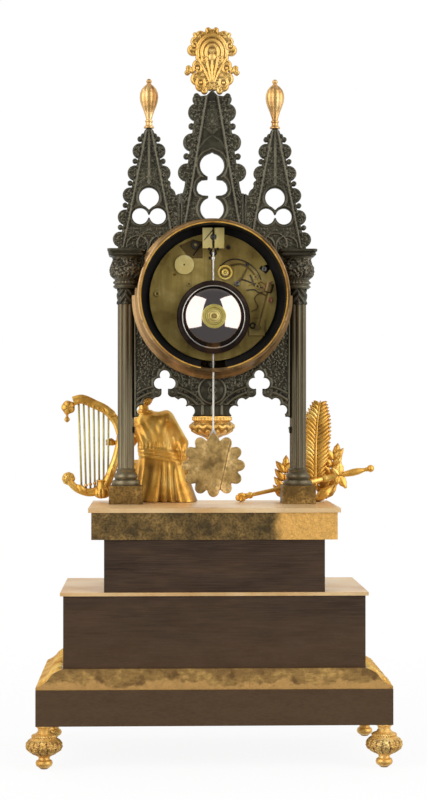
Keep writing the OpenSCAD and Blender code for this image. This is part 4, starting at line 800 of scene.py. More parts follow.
FACADE = dict(y=0, thick=6.8, look="patina", slot="patina", gain=1.6, depth=0.6)
relief("centre_gable_carved", centre_gable_outline, centre_gable_height, (-33, 33, 425, 546), 0.5,
       replace=["centre_gable"], **FACADE)
for sign, label in ((1, "left"), (-1, "right")):
    span = (24, 84, 396, 515) if sign > 0 else (-84, -24, 396, 515)
    made = relief(f"side_gable_{label}", side_gable_outline(sign), side_gable_height(sign), span, 0.5,
                  **FACADE)
    if sign > 0:
        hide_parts("side_gables")
relief("arcade_carved", arcade_outline, arcade_height, (-66, 66, 260, 414), 0.5,
       replace=["arcade"], **FACADE)


# Solids from a field, swept pieces and leaves

def joined(a, b, k):
    """Smooth union of two fields."""
    h = np.clip(0.5 + 0.5 * (b - a) / k, 0, 1)
    return b * (1 - h) + a * h - k * h * (1 - h)


def with_parts(field, *parts):
    """A field joined to others, given as (field, softness) pairs."""
    for part, k in parts:
        field = joined(field, part, k)
    return field


def capsule(p, a, b, ra, rb=None):
    """Distance to a rounded cone between two points."""
    rb = ra if rb is None else rb
    a, b = np.array(a, float), np.array(b, float)
    ab = b - a
    t = np.clip(sum((p[i] - a[i]) * ab[i] for i in range(3)) / float(ab @ ab + 1e-9), 0, 1)
    return np.sqrt(sum((p[i] - a[i] - t * ab[i]) ** 2 for i in range(3))) - (ra + (rb - ra) * t)


def ellipsoid(p, c, r):
    q = np.sqrt(sum(((p[i] - c[i]) / r[i]) ** 2 for i in range(3)))
    return (q - 1) * min(r)


def solid(name, field, low, high, step, look, hollow=None, **kw):
    """The surface where a field is 0, as a closed mesh of quads."""
    axes = [np.arange(l - step, h + 1.5 * step, step) for l, h in zip(low, high)]
    P = np.meshgrid(*axes, indexing="ij")
    S = field(P)
    S = np.where(np.abs(S) < 1e-6, 1e-6, S)
    inside = S < 0
    shape = tuple(n - 1 for n in S.shape)
    total, count = np.zeros((3, *shape)), np.zeros(shape)

    def part(a, offset):
        return a[tuple(slice(o, o + n) for o, n in zip(offset, shape))]

    corners = [(i, j, k) for i in (0, 1) for j in (0, 1) for k in (0, 1)]
    for a in corners:
        for axis in range(3):
            if a[axis]:
                continue
            b = tuple(v + (n == axis) for n, v in enumerate(a))
            sa, sb = part(S, a), part(S, b)
            crossing = (sa < 0) != (sb < 0)
            t = np.where(crossing, sa / np.where(crossing, sa - sb, 1), 0)
            for n in range(3):
                total[n] += np.where(crossing, part(P[n], a) + (t * step if n == axis else 0), 0)
            count += crossing
    active = count > 0
    ids = np.full(shape, -1)
    ids[active] = np.arange(active.sum())
    verts = np.stack([(total[n][active] / count[active]) for n in range(3)], 1)
    faces = []
    for axis in range(3):
        u, w = (axis + 1) % 3, (axis + 2) % 3
        first = [slice(1, n - 1) for n in S.shape]
        second = list(first)
        first[axis], second[axis] = slice(0, S.shape[axis] - 1), slice(1, S.shape[axis])
        sa, sb = inside[tuple(first)], inside[tuple(second)]
        where = np.argwhere(sa != sb)
        flip = sa[tuple(where.T)]
        base = where.copy()
        base[:, u] += 1
        base[:, w] += 1
        quad = []
        for du, dw in ((-1, -1), (0, -1), (0, 0), (-1, 0)):
            q = base.copy()
            q[:, u] += du
            q[:, w] += dw
            quad.append(ids[tuple(q.T)])
        quad = np.stack(quad, 1)
        quad[~flip] = quad[~flip][:, ::-1]
        faces += quad.tolist()
    kw["recess"] = None if hollow is None else hollow(verts)
    return add_mesh(name, verts, faces, look, **kw)


def spline(points, n):
    """A smooth line through points, as n points an even way apart."""
    p = np.array(points, float)
    ext = np.vstack([2 * p[0] - p[1], p, 2 * p[-1] - p[-2]])
    out = []
    for i in range(1, len(ext) - 2):
        t = np.linspace(0, 1, 24, endpoint=False)[:, None]
        a, b, c, d = ext[i - 1:i + 3]
        out.append(0.5 * (2 * b + (c - a) * t + (2 * a - 5 * b + 4 * c - d) * t ** 2
                          + (3 * b - a - 3 * c + d) * t ** 3))
    out = np.vstack([*out, p[-1:]])
    s = np.concatenate([[0], np.cumsum(np.linalg.norm(np.diff(out, axis=0), axis=1))])
    return np.stack([np.interp(np.linspace(0, s[-1], n), s, out[:, k]) for k in range(p.shape[1])], 1)


def tube_mesh(points, radius, sides, flat=1.0):
    """A swept round bar with closed ends; radius is a number or one for each point."""
    p = np.array(points, float)
    r = np.broadcast_to(np.asarray(radius, float), (len(p),))
    tangent = np.gradient(p, axis=0)
    tangent /= np.linalg.norm(tangent, axis=1)[:, None] + 1e-12
    side = np.cross(tangent[0], (0.0, 1.0, 0.0))
    if np.linalg.norm(side) < 0.1:
        side = np.cross(tangent[0], (1.0, 0.0, 0.0))
    a = angles(sides)[:, None]
    rings = []
    for q, t, rr in zip(p, tangent, r):
        side = side - t * (side @ t)
        side /= np.linalg.norm(side)
        rings.append(q + rr * (np.cos(a) * side + flat * np.sin(a) * np.cross(t, side)))
    faces, n = grid_quads(len(p), sides, wrap=True), len(p) * sides
    for j in range(sides):
        k = (j + 1) % sides
        faces += [[n, k, j], [n + 1, n - sides + j, n - sides + k]]
    return np.vstack(rings + [p[:1], p[-1:]]), faces


def merged(name, parts, look, **kw):
    """Several (vertices, faces) lists as one piece."""
    verts, faces, base = [], [], 0
    for v, f in parts:
        verts.append(np.asarray(v, float))
        faces += [[i + base for i in q] for q in f]
        base += len(v)
    return add_mesh(name, np.vstack(verts), faces, look, **kw)


def ball_mesh(c, r, n):
    t = np.linspace(-math.pi / 2, math.pi / 2, n // 2 + 1)
    ring = np.stack([np.zeros(len(t)), np.zeros(len(t)), np.sin(t)], 1) * r + np.array(c, float)
    ring[0, 2] += r * 1e-3
    return tube_mesh(ring, np.maximum(np.cos(t) * r, r * 0.02), n)


def leaf_mesh(root, tip, width, face, bend, thick, lobes, rows=18, columns=8):
    """A leaf with a raised vein. face is the way its upper side looks."""
    root, tip = np.array(root, float), np.array(tip, float)
    along = tip - root
    length = np.linalg.norm(along)
    along /= length
    face = np.array(face, float)
    face -= along * (face @ along)
    face /= np.linalg.norm(face)
    across = np.cross(face, along)
    s = np.linspace(0, 1, rows)[:, None]
    w = np.linspace(-1, 1, columns + 1)[None, :]
    shape = np.sin(math.pi * s ** 0.75) ** 0.8 + 0.03
    if lobes:
        shape = shape * (0.86 + 0.14 * np.abs(np.cos(math.pi * lobes * s)))
    veins = 0.28 * np.abs(np.sin(9 * math.pi * (s - 0.25 * np.abs(w)))) * np.abs(w)
    lift = bend * length * np.sin(math.pi * s) - 0.16 * width * w ** 2 + veins + 0.45 * ridge(w, 0.22)
    middle = root + along * length * s[..., None] + across * (w * shape * width / 2)[..., None]
    return shell(*(middle + face * (lift + half)[..., None] for half in (thick / 2, -thick / 2)))


# Palmette, finials, boss, bob, capitals and feet

PAL_Z = 539.5


def palmette_outline(x, z):
    a, v = np.abs(x), (z - PAL_Z) * 1.012
    body = polygon(a, v, [(-5, 4), (9, 7), (14, 20), (10, 30), (16, 38), (15, 46), (8, 54), (0, 57.5),
                          (-5, 56)])
    lobes = [circle(a, v, *c) for c in
             ((13.2, 46.5, 4.6), (15.8, 39.4, 4.8), (9.5, 51.5, 4.2), (3.2, 56.2, 2.4), (14.2, 52.6, 1.7),
              (12.6, 50.8, 1.6), (11.0, 26.5, 5.4), (16.6, 22.6, 2.6), (19.4, 24.4, 2.3), (20.4, 20.6, 2.3),
              (12.2, 15.5, 5.6), (9.2, 9.6, 4.8), (6.3, 5.2, 2.7), (10.6, 33.4, 3.2))]
    notch = polygon(a, v, [(-3, -2), (6.4, 0.4), (5, 2), (0, 6.8), (-3, 6.8)])
    return cut(union(body, *lobes), notch, rectangle(x, v, -40, 40, -9, 1.9))


def palmette_height(x, z, d):
    a, v = np.abs(x), z - PAL_Z
    h = 0.95 * foliage(a + 1, v, 1.75) - 0.55
    for r, w in ((5.2, 1.1), (8.6, 1.2), (12.2, 1.3)):
        h = np.maximum(h, np.where(v > 33, ridge(np.hypot(a, (v - 37) * 0.86) - r, w) * 1.1, -1))
    for cx, cz, r in ((15, 42, 3.2), (12, 24, 3.4), (9.4, 12, 3.3), (6.4, 31, 2.2), (19.4, 22, 1.7)):
        q = np.hypot(a - cx, v - cz)
        h = np.where(q < r + 0.9, np.maximum(ridge(q - r, 0.9) * 1.1, ridge(q, 1.1) * 0.9) - 0.25, h)
    for k in (0.0, 0.3, 0.7):
        rib = ridge(a - k * np.maximum(v - 6, 0) ** 1.3 * 0.24, 0.7) * 0.9
        h = np.maximum(h, np.where((v > 12) & (v < 33), rib, -1))
    return highest(h, np.where((v > 30) & (v < 36), ridge(np.hypot(a, v - 33), 3.2) * 1.5, -1),
                   0.8 * ridge(d - 0.9, 0.8) - 0.1)


relief("palmette_carved", palmette_outline, palmette_height, (-25, 25, 538, 600), 0.4, y=0, thick=4.6,
       look="pale_gilt", slot="gilt", replace=["palmette"], depth=0.3)


def drop_ripple(a, h, r):
    body = smooth(h, 8, 16) * (1 - smooth(h, 33, 36.5))
    grooves = np.abs(np.sin(3 * a))
    return -0.8 * body * (1 - grooves) ** 2, body * np.clip(1 - grooves * 3.2, 0, 1) * 0.7


for x, label in ((SIDE_X, "left"), (-SIDE_X, "right")):
    made = turned(f"drop_finial_{label}", [
        (0, 0.05), (4.2, 0.05), (4.3, 0.9), (3.9, 1.6), (2.9, 2.4), (2.6, 4.6), (3.3, 5.4), (3.3, 6.2),
        (2.3, 7.2), (3, 9.5), (4.3, 13.5), (6.2, 18), (7.5, 22), (8, 25.4), (7.7, 28.6), (6.5, 31.8),
        (4.4, 34.4), (2.4, 36), (1.6, 37), (2.2, 38.2), (2.1, 39.4), (1.3, 40.5), (0, 41)
    ], 60, "drop_gilt", (x, 0, GABLE_Z + 100), drop_ripple, 0.5, slot="gilt")
    if x > 0:
        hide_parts("drop_finials")


def boss_ripple(a, h, r):
    beads = (h > -3.6) & (h < -0.6)
    bead = 0.9 * np.abs(np.sin(16 * a)) * beads
    bowl = (h < -5) & (h > -17)
    chevrons = np.abs(((a * 14 / math.pi) % 2) - 1)
    leaf = np.sin(1.1 * (h + 17) - 3.2 * chevrons)
    carved = 0.55 * leaf * bowl * smooth(-h, 5, 6.5) * (1 - smooth(-h, 15, 17))
    return bead + carved, (leaf < -0.2) * bowl * 0.8 + beads * (np.abs(np.sin(16 * a)) < 0.35) * 0.8


turned("boss_carved", [
    (0, 0), (15.6, 0), (15.8, -0.5), (15.6, -2), (15.8, -3.7), (14.9, -4.4), (16.4, -5.2), (18.4, -7.4),
    (18.6, -9.6), (16.6, -12.6), (12.4, -15.2), (8.4, -16.8), (5.6, -18.2), (4.2, -19.6), (5, -21.4),
    (4.4, -23.4), (2.6, -25), (0, -26)
], 224, "pale_gilt", (0, 0, BOSS_Z), boss_ripple, 0.4, slot="gilt", replace=["pendant_boss"])


def bob_outline(x, z):
    r, t = np.hypot(x, z - BOB_Z), np.arctan2(x, z - BOB_Z)
    notch = np.abs(np.sin(6 * t)) ** 6
    crown = 0.35 * np.cos(24 * t)
    return r - (25.2 - 4.6 * notch + crown * (1 - notch))


def bob_height(x, z, d):
    r, t = np.hypot(x, z - BOB_Z), np.arctan2(x, z - BOB_Z)
    crease = ridge(x + 9.6 + 0.22 * (z - BOB_Z), 0.9)
    veins = 0.25 * ridge(np.abs(np.sin(6 * t)) - 1, 0.2) * smooth(r, 15, 20)
    return 0.16 * np.sin(x * 0.31 + 1.2) * np.cos(z * 0.23) - 0.35 * crease - veins


relief("bob_petalled", bob_outline, bob_height, (-27, 27, 210, 264), 0.5, y=PENDULUM_Y, thick=3.4,
       look="bob_gilt", slot="gilt_rough", replace=["pendulum_bob"], edge=0.6, body="pendulum")


def capital_ripple(a, h, r):
    ball = smooth(h, 7.5, 10) * (1 - smooth(h, 23, 26))
    v = foliage((a * 13.3) % (13.3 * math.pi / 2) - 13.3 * math.pi / 4, h, 2.1)
    ribs = np.abs(np.sin(2 * a)) ** 0.5
    carved = ball * (1.5 * v - 0.8 + 0.7 * ribs)
    beads = (h < 7.2) * 0.25 * np.sin(24 * a) * smooth(h, 3.8, 4.4)
    return carved + beads, ball * np.clip(1.1 - 1.9 * v, 0, 1)


def shaft_ripple(a, h, r):
    chevron = np.abs(((a * 4 / math.pi) % 2) - 1)
    carved = np.sin(0.95 * (h - 6.2 * chevron))
    return 0.55 * carved, (carved < -0.1) * 0.8


for x, label in ((COL_X, "left"), (-COL_X, "right")):
    made = turned(f"capital_{label}", [
        (0, 0), (9, 0), (10.6, 1.4), (10.4, 2.2), (9.2, 3.2), (10.4, 4.4), (10.5, 5.2), (8.9, 6.8),
        (10.4, 8.6), (12.2, 11), (12.9, 14), (12.6, 17.6), (11.2, 21), (10.2, 23.6), (11.4, 25.4),
        (13, 26.3), (0, 26.5)
    ], 144, "lit_capital_patina", (x, 0, CAPITAL_Z), capital_ripple, 0.6, slot="patina")
    if x > 0:
        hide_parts("capitals")
    turned(f"abacus_{label}", [
        (0, 0), (12.2, 0), (13.6, 0.4), (14.2, 1.2), (14.1, 1.9), (13.4, 2.4), (13.6, 3.2), (14.9, 3.8),
        (15, 4.6), (15, 5.5), (14.7, 5.8), (0, 5.8)
    ], 96, "patina", (x, 0, ABACUS_Z),
        lambda a, h, r: r * (np.minimum(1 / np.maximum(np.abs(np.cos(a)), np.abs(np.sin(a))), 1.34) - 1),
        0.5, slot="patina", sharp=40)
    turned(f"shaft_leaves_{label}", [(6.6, 0), (7.2, 0.4), (7.2, 12.6), (6.6, 13)], 96, "patina",
           (x, 0, CAPITAL_Z - 13), shaft_ripple, 0.5, slot="patina")


def foot_ripple(a, h, r):
    ball = smooth(h, 10, 12) * (1 - smooth(h, 22.5, 24))
    upper = h > 18
    petals = np.abs(np.cos(np.where(upper, 8, 6) * a))
    leaf = np.where(upper, 0.4 * petals, 0.5 * petals ** 0.6)
    veins = foliage(a * 14.4, h, 1.15)
    leaf = leaf + 0.75 * veins
    rope = (h > 24.6) & (h < 27)
    dark = np.clip(1 - petals * 2.2, 0, 1) + np.clip(1.1 - 2.4 * veins, 0, 0.75)
    twist = np.sin(30 * a + 2 * h)
    return ball * (leaf - 0.9) + rope * 0.35 * twist, ball * dark + rope * (twist < -0.3) * 0.7


for x in (-FOOT_X, FOOT_X):
    for y in (-FOOT_Y, FOOT_Y):
        label = ("left" if x > 0 else "right") + ("_rear" if y > 0 else "_front")
        made = turned(f"foot_{label}", [
            (0, 0), (2.8, 0), (4.2, 1.2), (6.2, 2.6), (6.8, 4.6), (6.2, 6.4), (4.6, 7.4), (4.3, 9),
            (6, 10.4), (9.4, 12), (13.4, 14.8), (14.6, 17.6), (14.3, 20.4), (12.6, 22.6), (10.2, 24.2),
            (9.4, 24.8), (9.9, 25.8), (9.2, 26.8), (6.4, 28), (4.9, 30), (5.2, 32), (6.6, 33.2), (6.6, 34)
        ], 144, "foot_gilt", (x, y, 0), foot_ripple, 0.4, slot="gilt")
        if x > 0 and y > 0:
            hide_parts("feet")


# The moulding's carved slopes, over its plain casting.
# Half widths along X and Y at the foot and at the head of the slope, and its two heights
MOULDING_FOOT = np.array([140.5, 75.0])
MOULDING_HEAD = np.array([119.5, 50.5])
MOULDING_Z = (62.6, 78.8)
LEAF_PITCH = 10.0


def moulding_slope(label):
    """A row of leaves up the moulding's slope, on its front or on one of its sides."""
    front = label == "front"
    sign = 1 if label == "left" else -1
    (half, out), (narrow, into) = (p if front else p[::-1] for p in (MOULDING_FOOT, MOULDING_HEAD))
    shrink = (half - narrow) / (out - into)
    t, k = np.meshgrid(np.linspace(-1, 1, int(half * 2 / 0.9)), np.linspace(0, 1, 44), indexing="ij")
    inset = (out - into) * (k + 0.09 * np.sin(2 * math.pi * k))
    z = MOULDING_Z[0] + (MOULDING_Z[1] - MOULDING_Z[0]) * (0.1 + 0.9 * k)
    if front:
        s = t * (half - inset * shrink)
    else:
        start, end = inset * shrink - half, 74.2 - 3.4 * inset / (out - into)
        s = start + (t + 1) / 2 * (end - start)
    phase = np.abs((s / LEAF_PITCH) % 1 - 0.5)
    width = 0.46 * ridge(k - 0.08, 0.86) + 0.02
    veins = 0.5 * np.abs(np.sin(math.pi * (phase * 6 + k * 3)))
    leaf = 1.4 * (1 - (phase / (width + 1e-6)) ** 2) + veins - 0.2
    dart = 0.9 * ridge(phase - 0.5, 0.12) * (k > 0.3)
    lift = np.clip(1.25 * np.where(phase < width, leaf, dart), 0, 2.9)
    lift = lift * smooth(k, 0, 0.08) * (1 - smooth(k, 0.94, 1.0))
    if not front:
        lift = lift * smooth(1 - t, 0, 0.03)
    fall, z_top = out - inset + 0.56 * lift, z + 0.83 * lift
    z_under = np.minimum(z - 1.2, z_top - 1.5)
    upper, under = (np.stack([s, sign * f, h] if front else [sign * f, s, h], -1)
                    for f, h in ((fall, z_top), (fall - 2.2, z_under)))
    v, faces = shell(upper, under, flip=True)
    if label == "left":
        faces = [f[::-1] for f in faces]
    hollow = (np.clip(0.8 - lift, 0, 1) * smooth(1 - np.abs(t), 0.0, 0.05)).ravel()
    add_mesh(f"moulding_{label}", v, faces, "gilt", slot="gilt", sharp=50,
             recess=np.concatenate([hollow, hollow]))


for side in ("front", "left", "right"):
    moulding_slope(side)


# Gilt frieze on the cornice's front

FRIEZE_X, FRIEZE_Y, FRIEZE_Z = 94, -47.2, (181.2, 199.4)
FRIEZE_PITCH = 14


def frieze_height(x, z, d):
    """A row of quatrefoils between two fillets, with a leaf in each gap."""
    u, v = (x / FRIEZE_PITCH + 0.5) % 1 * FRIEZE_PITCH - FRIEZE_PITCH / 2, z - sum(FRIEZE_Z) / 2
    foil = np.minimum(np.hypot(np.abs(u) - 2.2, v), np.hypot(u, np.abs(v) - 2.2)) - 2.3
    gap = np.hypot((FRIEZE_PITCH / 2 - np.abs(u)) * 1.5, (v - 3.4) * 0.8)
    return highest(ridge(foil, 0.8) - 0.2, ridge(np.hypot(u, v), 1.1) - 0.2, ridge(gap, 2.6) - 0.3,
                   ridge(np.abs(v) - 7.6, 0.7), 0.6 * ridge(d - 0.8, 0.7) - 0.1)


relief("cornice_frieze", lambda x, z: rectangle(x, z, -FRIEZE_X, FRIEZE_X, *FRIEZE_Z), frieze_height,
       (-FRIEZE_X, FRIEZE_X, 181, 200), 0.5, y=FRIEZE_Y, thick=1.0, look="pale_gilt", slot="gilt")


# Seated harpist in a draped robe, seen from behind

FIG_Y = -30.0


def section(p, circles):
    """A body whose level sections are rows of circles: circles holds (heights, x, y, radius) lists."""
    found = None
    rows = [[np.interp(p[2], c[0], c[k]) for k in (1, 2, 3)] for c in circles]
    for (ax, ay, ar), (bx, by, br) in zip(rows, rows[1:]):
        ex, ey = bx - ax, by - ay
        t = np.clip(((p[0] - ax) * ex + (p[1] - ay) * ey) / (ex * ex + ey * ey + 1e-9), 0, 1)
        d = np.hypot(p[0] - ax - t * ex, p[1] - ay - t * ey) - (ar + (br - ar) * t)
        found = d if found is None else np.minimum(found, d)
    return found


ROBE_Z = [0, 14, 28, 38, 46, 58, 68, 76]
ROBE = [
    (ROBE_Z, [24, 27, 31, 36, 39.5, 39.5, 39, 42], [4, 3, 2, 2.4, 3, 2.5, 2, 1.5],
     [13.5, 11.4, 9.6, 8.4, 8.7, 8.6, 8, 5]),
    (ROBE_Z, [42, 42, 42, 44, 46, 47, 48, 49], [-3, -1, 0, 1.5, 3, 2.5, 2, 1.5],
     [15, 12.4, 10.4, 9.2, 9.2, 9, 8.4, 5.4]),
    (ROBE_Z, [56, 54, 52, 52, 53, 55, 57, 54], [2, 1, 0, 1, 2, 1, 0, 0],
     [11, 10.8, 10.4, 8.6, 8.6, 8.2, 7.4, 5]),
]
SASH_Z = (36.5, 39.6, 42.6)


def fold_wave(x, z):
    """Long folds of the skirt, which fan out towards the hem; 1 on a crest, 0 in a furrow."""
    fan = (x - 40) / (0.72 + 0.28 * np.clip((36 - z) / 36, 0, 1))
    wave = np.cos(fan * 0.66 + 0.9 * np.sin(z * 0.09 + x * 0.11) + 1.9 * np.sin(fan * 0.19 + 0.8))
    return 0.5 + 0.5 * wave


def robe_relief(p):
    x, _, z = p
    skirt = smooth(36 - z, 0, 9) * (0.7 + 0.3 * smooth(30 - z, 0, 20))
    folds = skirt * 1.25 * (fold_wave(x, z) ** 0.8 - 0.5)
    slant = z - 0.16 * (x - 42)
    sash = sum(0.6 * ridge(slant - h, 1.4) for h in SASH_Z)
    knot = 0.25 * np.sin(slant * 5.2 + x * 0.6) * smooth(3.4 - abs(slant - 39.6), 0, 2)
    back = smooth(z, 46, 54)
    drape = back * (0.55 * np.cos((x - 30) * 0.42 + (z - 50) * 0.14) * smooth(60 - x, 0, 18)
                    + 0.4 * np.sin(0.9 * x - 0.5 * z) * smooth(np.abs(x - 36), 4, 12) * smooth(72 - z, 0, 14))
    gather = 0.35 * np.sin(x * 1.9) * smooth(4 - np.abs(z - 47.5), 0, 3)
    return folds + sash + knot + drape + gather


def robe_field(p):
    """The body in its robe. The figure's fields count from the middle of the tier's top, at FIG_Y."""
    x, y, z = p
    body = np.maximum(np.maximum(section(p, ROBE), z - 72), -z)
    body = joined(body, capsule(p, (39, 2, 69), (57, 0, 68), 7.6, 7.2), 3)
    arm = capsule(p, (37, 1, 69), (24.5, 1, 49), 6.6, 5.6)
    sleeve = capsule(p, (25, 2, 46), (21.5, 3, 24), 4.4, 5.8)
    pleats = 0.8 * np.cos(1.5 * x + 0.4 * np.sin(z * 0.2)) * smooth(50 - z, 0, 12)
    sleeve = joined(arm, sleeve - pleats, 3)
    left = capsule(p, (58, 0, 67), (68, -5, 50.5), 6.2, 5.0)
    left = left - 0.35 * np.sin(1.3 * z + 0.4 * x)
    cuff = joined(capsule(p, (68, -5, 50), (74, -3.6, 49.4), 5.0, 4.2), left, 2)
    knees = joined(capsule(p, (46, -4, 27), (67, -11, 26), 10.2, 7.8),
                   capsule(p, (67, -11, 26), (73.5, -13.5, 5.2), 7.8, 5.2), 3)
    knees = knees - 0.9 * (fold_wave(y * 1.6 + x * 0.5, z) - 0.5)
    neck = capsule(p, (55.4, 1.4, 72), (57, 0, 82), 4.4, 3.9)
    collar = np.hypot(np.hypot(x - 55.6, y - 1.2) - 5.4, z - 76) - 1.2
    whole = with_parts(body - robe_relief(p), (sleeve, 2.4), (cuff, 2.4), (knees, 3), (neck, 2),
                       (collar, 1.2))
    return np.maximum(whole, 0.05 - z)


def robe_hollow(v):
    x, _, z = v.T
    skirt = smooth(36 - z, 0, 9)
    slant = z - 0.16 * (x - 42)
    between = smooth(6.5 - np.abs(slant - 39.6), 0, 1.5) * (1 - np.maximum.reduce(
        [ridge(slant - h, 1.5) for h in SASH_Z]))
    return np.clip(skirt * (1 - fold_wave(x, z)) ** 2.4 * 0.9 + 0.45 * between, 0, 1)


def shifted(field, offset):
    return lambda p: field([q - o for q, o in zip(p, offset)])


FIG_AT = np.array([0, FIG_Y, TOP_Z])
solid("harpist_robe", shifted(robe_field, FIG_AT), (7, -56, 204), (82, -10, 292), 0.75, "gilt",
      hollow=lambda v: robe_hollow(v - FIG_AT), slot="gilt", replace=["harpist"])


def hand_parts(wrist, reach, spread, r):
    """A palm and four bent fingers with a thumb, pointing along reach."""
    curl = 0.4
    reach, spread = np.array(reach, float), np.array(spread, float)
    reach = reach / np.linalg.norm(reach)
    down = np.cross(reach, spread)
    parts = [tube_mesh([wrist, wrist + reach * 2.2, wrist + reach * 4.6], [r * 0.8, r * 1.15, r], 12, 0.62)]
    for i in range(4):
        base = wrist + reach * 4 + spread * (i - 1.5) * 1.25
        mid = base + reach * 2.3 + down * curl
        parts.append(tube_mesh([base, mid, mid + reach * 1.8 - down * (0.9 + curl)], [0.75, 0.68, 0.4], 8))
    thumb = wrist + reach * 1.6 + spread * 2.0
    bend, nail = thumb + reach * 1.8 + spread * 1.2, thumb + reach * 3.4 + spread
    return parts + [tube_mesh([thumb, bend, nail], [0.85, 0.7, 0.4], 8)]


def from_seat(*points):
    return np.array(points, float) + FIG_AT


WRIST, OTHER_WRIST = from_seat((80.5, -2, 49.4), (42, -13, 44))
merged("harpist_arms", [
    tube_mesh(from_seat((73, -3.8, 49.5), (78, -2.6, 49.4), (81, -1.8, 49.4)), [3.2, 2.5, 1.9], 14),
    *hand_parts(WRIST, (1, 0.15, 0.05), (0, 0.1, 1), 2.3),
    tube_mesh(from_seat((27, -2, 47.5), (35, -8, 45.6), (42, -13, 44)), [4.2, 3.4, 2.2], 14),
    *hand_parts(OTHER_WRIST, (0.9, -0.2, -0.2), (0, 0.2, 1), 2.1),
    tube_mesh(from_seat((75, -16.5, 1.4), (79, -18, 1.5)), [1.9, 1.4], 12),
], "gilt")

HEAD_AT = from_seat((57.5, -1, 90))[0]
LOOK_TURN = math.radians(20)


def head_axes(p):
    """Coordinates ahead, to the side and up, from the middle of the head."""
    x, y, z = (p[k] - HEAD_AT[k] for k in range(3))
    ahead = x * math.sin(LOOK_TURN) - y * math.cos(LOOK_TURN)
    side = x * math.cos(LOOK_TURN) + y * math.sin(LOOK_TURN)
    return ahead, side, z


def face_field(p):
    q = head_axes(p)
    skull = ellipsoid(q, (-0.2, 0, 1.4), (8.0, 6.9, 7.7))
    jaw = ellipsoid(q, (2.6, 0, -3.6), (5.2, 4.9, 5.4))
    head = with_parts(skull, (jaw, 3), (ellipsoid(q, (6.5, 0, -7.6), (1.7, 2.0, 1.5)), 1.6))
    for sign in (-1, 1):
        socket = ellipsoid(q, (8.6, sign * 2.7, 0.2), (1.6, 1.7, 1.0))
        head = np.maximum(head, 0.025 - socket)
        eye = ellipsoid(q, (6.7, sign * 2.6, 0.1), (1.2, 1.3, 0.8))
        lid = capsule(q, (7.75, sign * 1.5, 0.5), (7.1, sign * 3.7, 0.4), 0.3)
        cheek = ellipsoid(q, (5.8, sign * 3.0, -3.0), (2.0, 2.0, 1.8))
        brow = capsule(q, (8.0, sign * 1.1, 1.8), (6.9, sign * 3.9, 1.9), 0.45)
        ear = ellipsoid(q, (-0.4, sign * 6.9, -0.9), (1.5, 0.8, 2.1))
        head = with_parts(head, (eye, 0.3), (lid, 0.3), (cheek, 1.5), (brow, 0.8), (ear, 0.5))
    nose = joined(capsule(q, (7.8, 0, 1.0), (9.5, 0, -2.4), 0.6, 0.85),
                  ellipsoid(q, (8.5, 0, -2.8), (1.0, 1.4, 0.6)), 0.6)
    return with_parts(head, (nose, 0.8), (ellipsoid(q, (8.0, 0, -4.7), (0.7, 1.8, 0.42)), 0.3),
                      (ellipsoid(q, (7.8, 0, -5.6), (0.7, 1.4, 0.46)), 0.3))


def strands(a, s, u):
    """Combed hair: grooves that run from the brow back to the knot."""
    turn = np.arctan2(u + 4 + 0.25 * a, np.abs(s) + 0.01)
    return np.sin(turn * 26 + 0.9 * np.sin(a * 0.8))


def hair_field(p):
    a, s, u = head_axes(p)
    q = (a, s, u)
    cap = ellipsoid(q, (-1.2, 0, 1.9), (8.7, 7.7, 8.3))
    brow = a - 4.6 + 0.5 * np.maximum(3.2 - u, 0) - 0.22 * np.maximum(u - 3.2, 0)
    low = -(u + 4.2 - 0.25 * np.maximum(-a, 0))
    cap = np.maximum(np.maximum(cap, brow), low)
    wave = np.minimum(capsule(q, (3.6, 5.6, 3.4), (-3.5, 6.6, -2.6), 1.7, 1.9),
                      capsule(q, (3.6, -5.6, 3.4), (-3.5, -6.6, -2.6), 1.7, 1.9))
    roll = np.hypot(np.hypot(a + 5.4, s) - 5.0, u + 3.6) - 2.0
    cap = with_parts(cap, (wave, 1.2), (np.maximum(roll, a + 3), 0.9),
                     (ellipsoid(q, (-9.0, 0.4, -5.2), (4.2, 5.2, 4.4)), 1.0))
    band = np.maximum(np.abs(cap) - 0.5, np.abs(0.55 * a + u - 5.4) - 0.7)
    return np.minimum(cap - 0.3 * strands(a, s, u), band)


HEAD_BOX = (HEAD_AT - np.array([11, 11, 11]), HEAD_AT + np.array([11, 15, 12]))
solid("harpist_face", lambda p: np.maximum(face_field(p), HEAD_AT[2] - 9.4 - p[2]), *HEAD_BOX, 0.36, "gilt",
      slot="gilt", replace=["harpist_head"])
solid("harpist_hair", hair_field, *HEAD_BOX, 0.4, "gilt", slot="gilt",
      hollow=lambda v: smooth(-strands(*head_axes(v.T)), 0.2, 0.9) * 0.8)


# Harp

HARP_Y = -25.0
HARP_AT = (0, HARP_Y, TOP_Z)


def upright(route, y, base=0.0):
    """A line drawn in X and Z as points in space."""
    return np.stack([route[:, 0], np.full(len(route), y), base + route[:, 1]], 1)


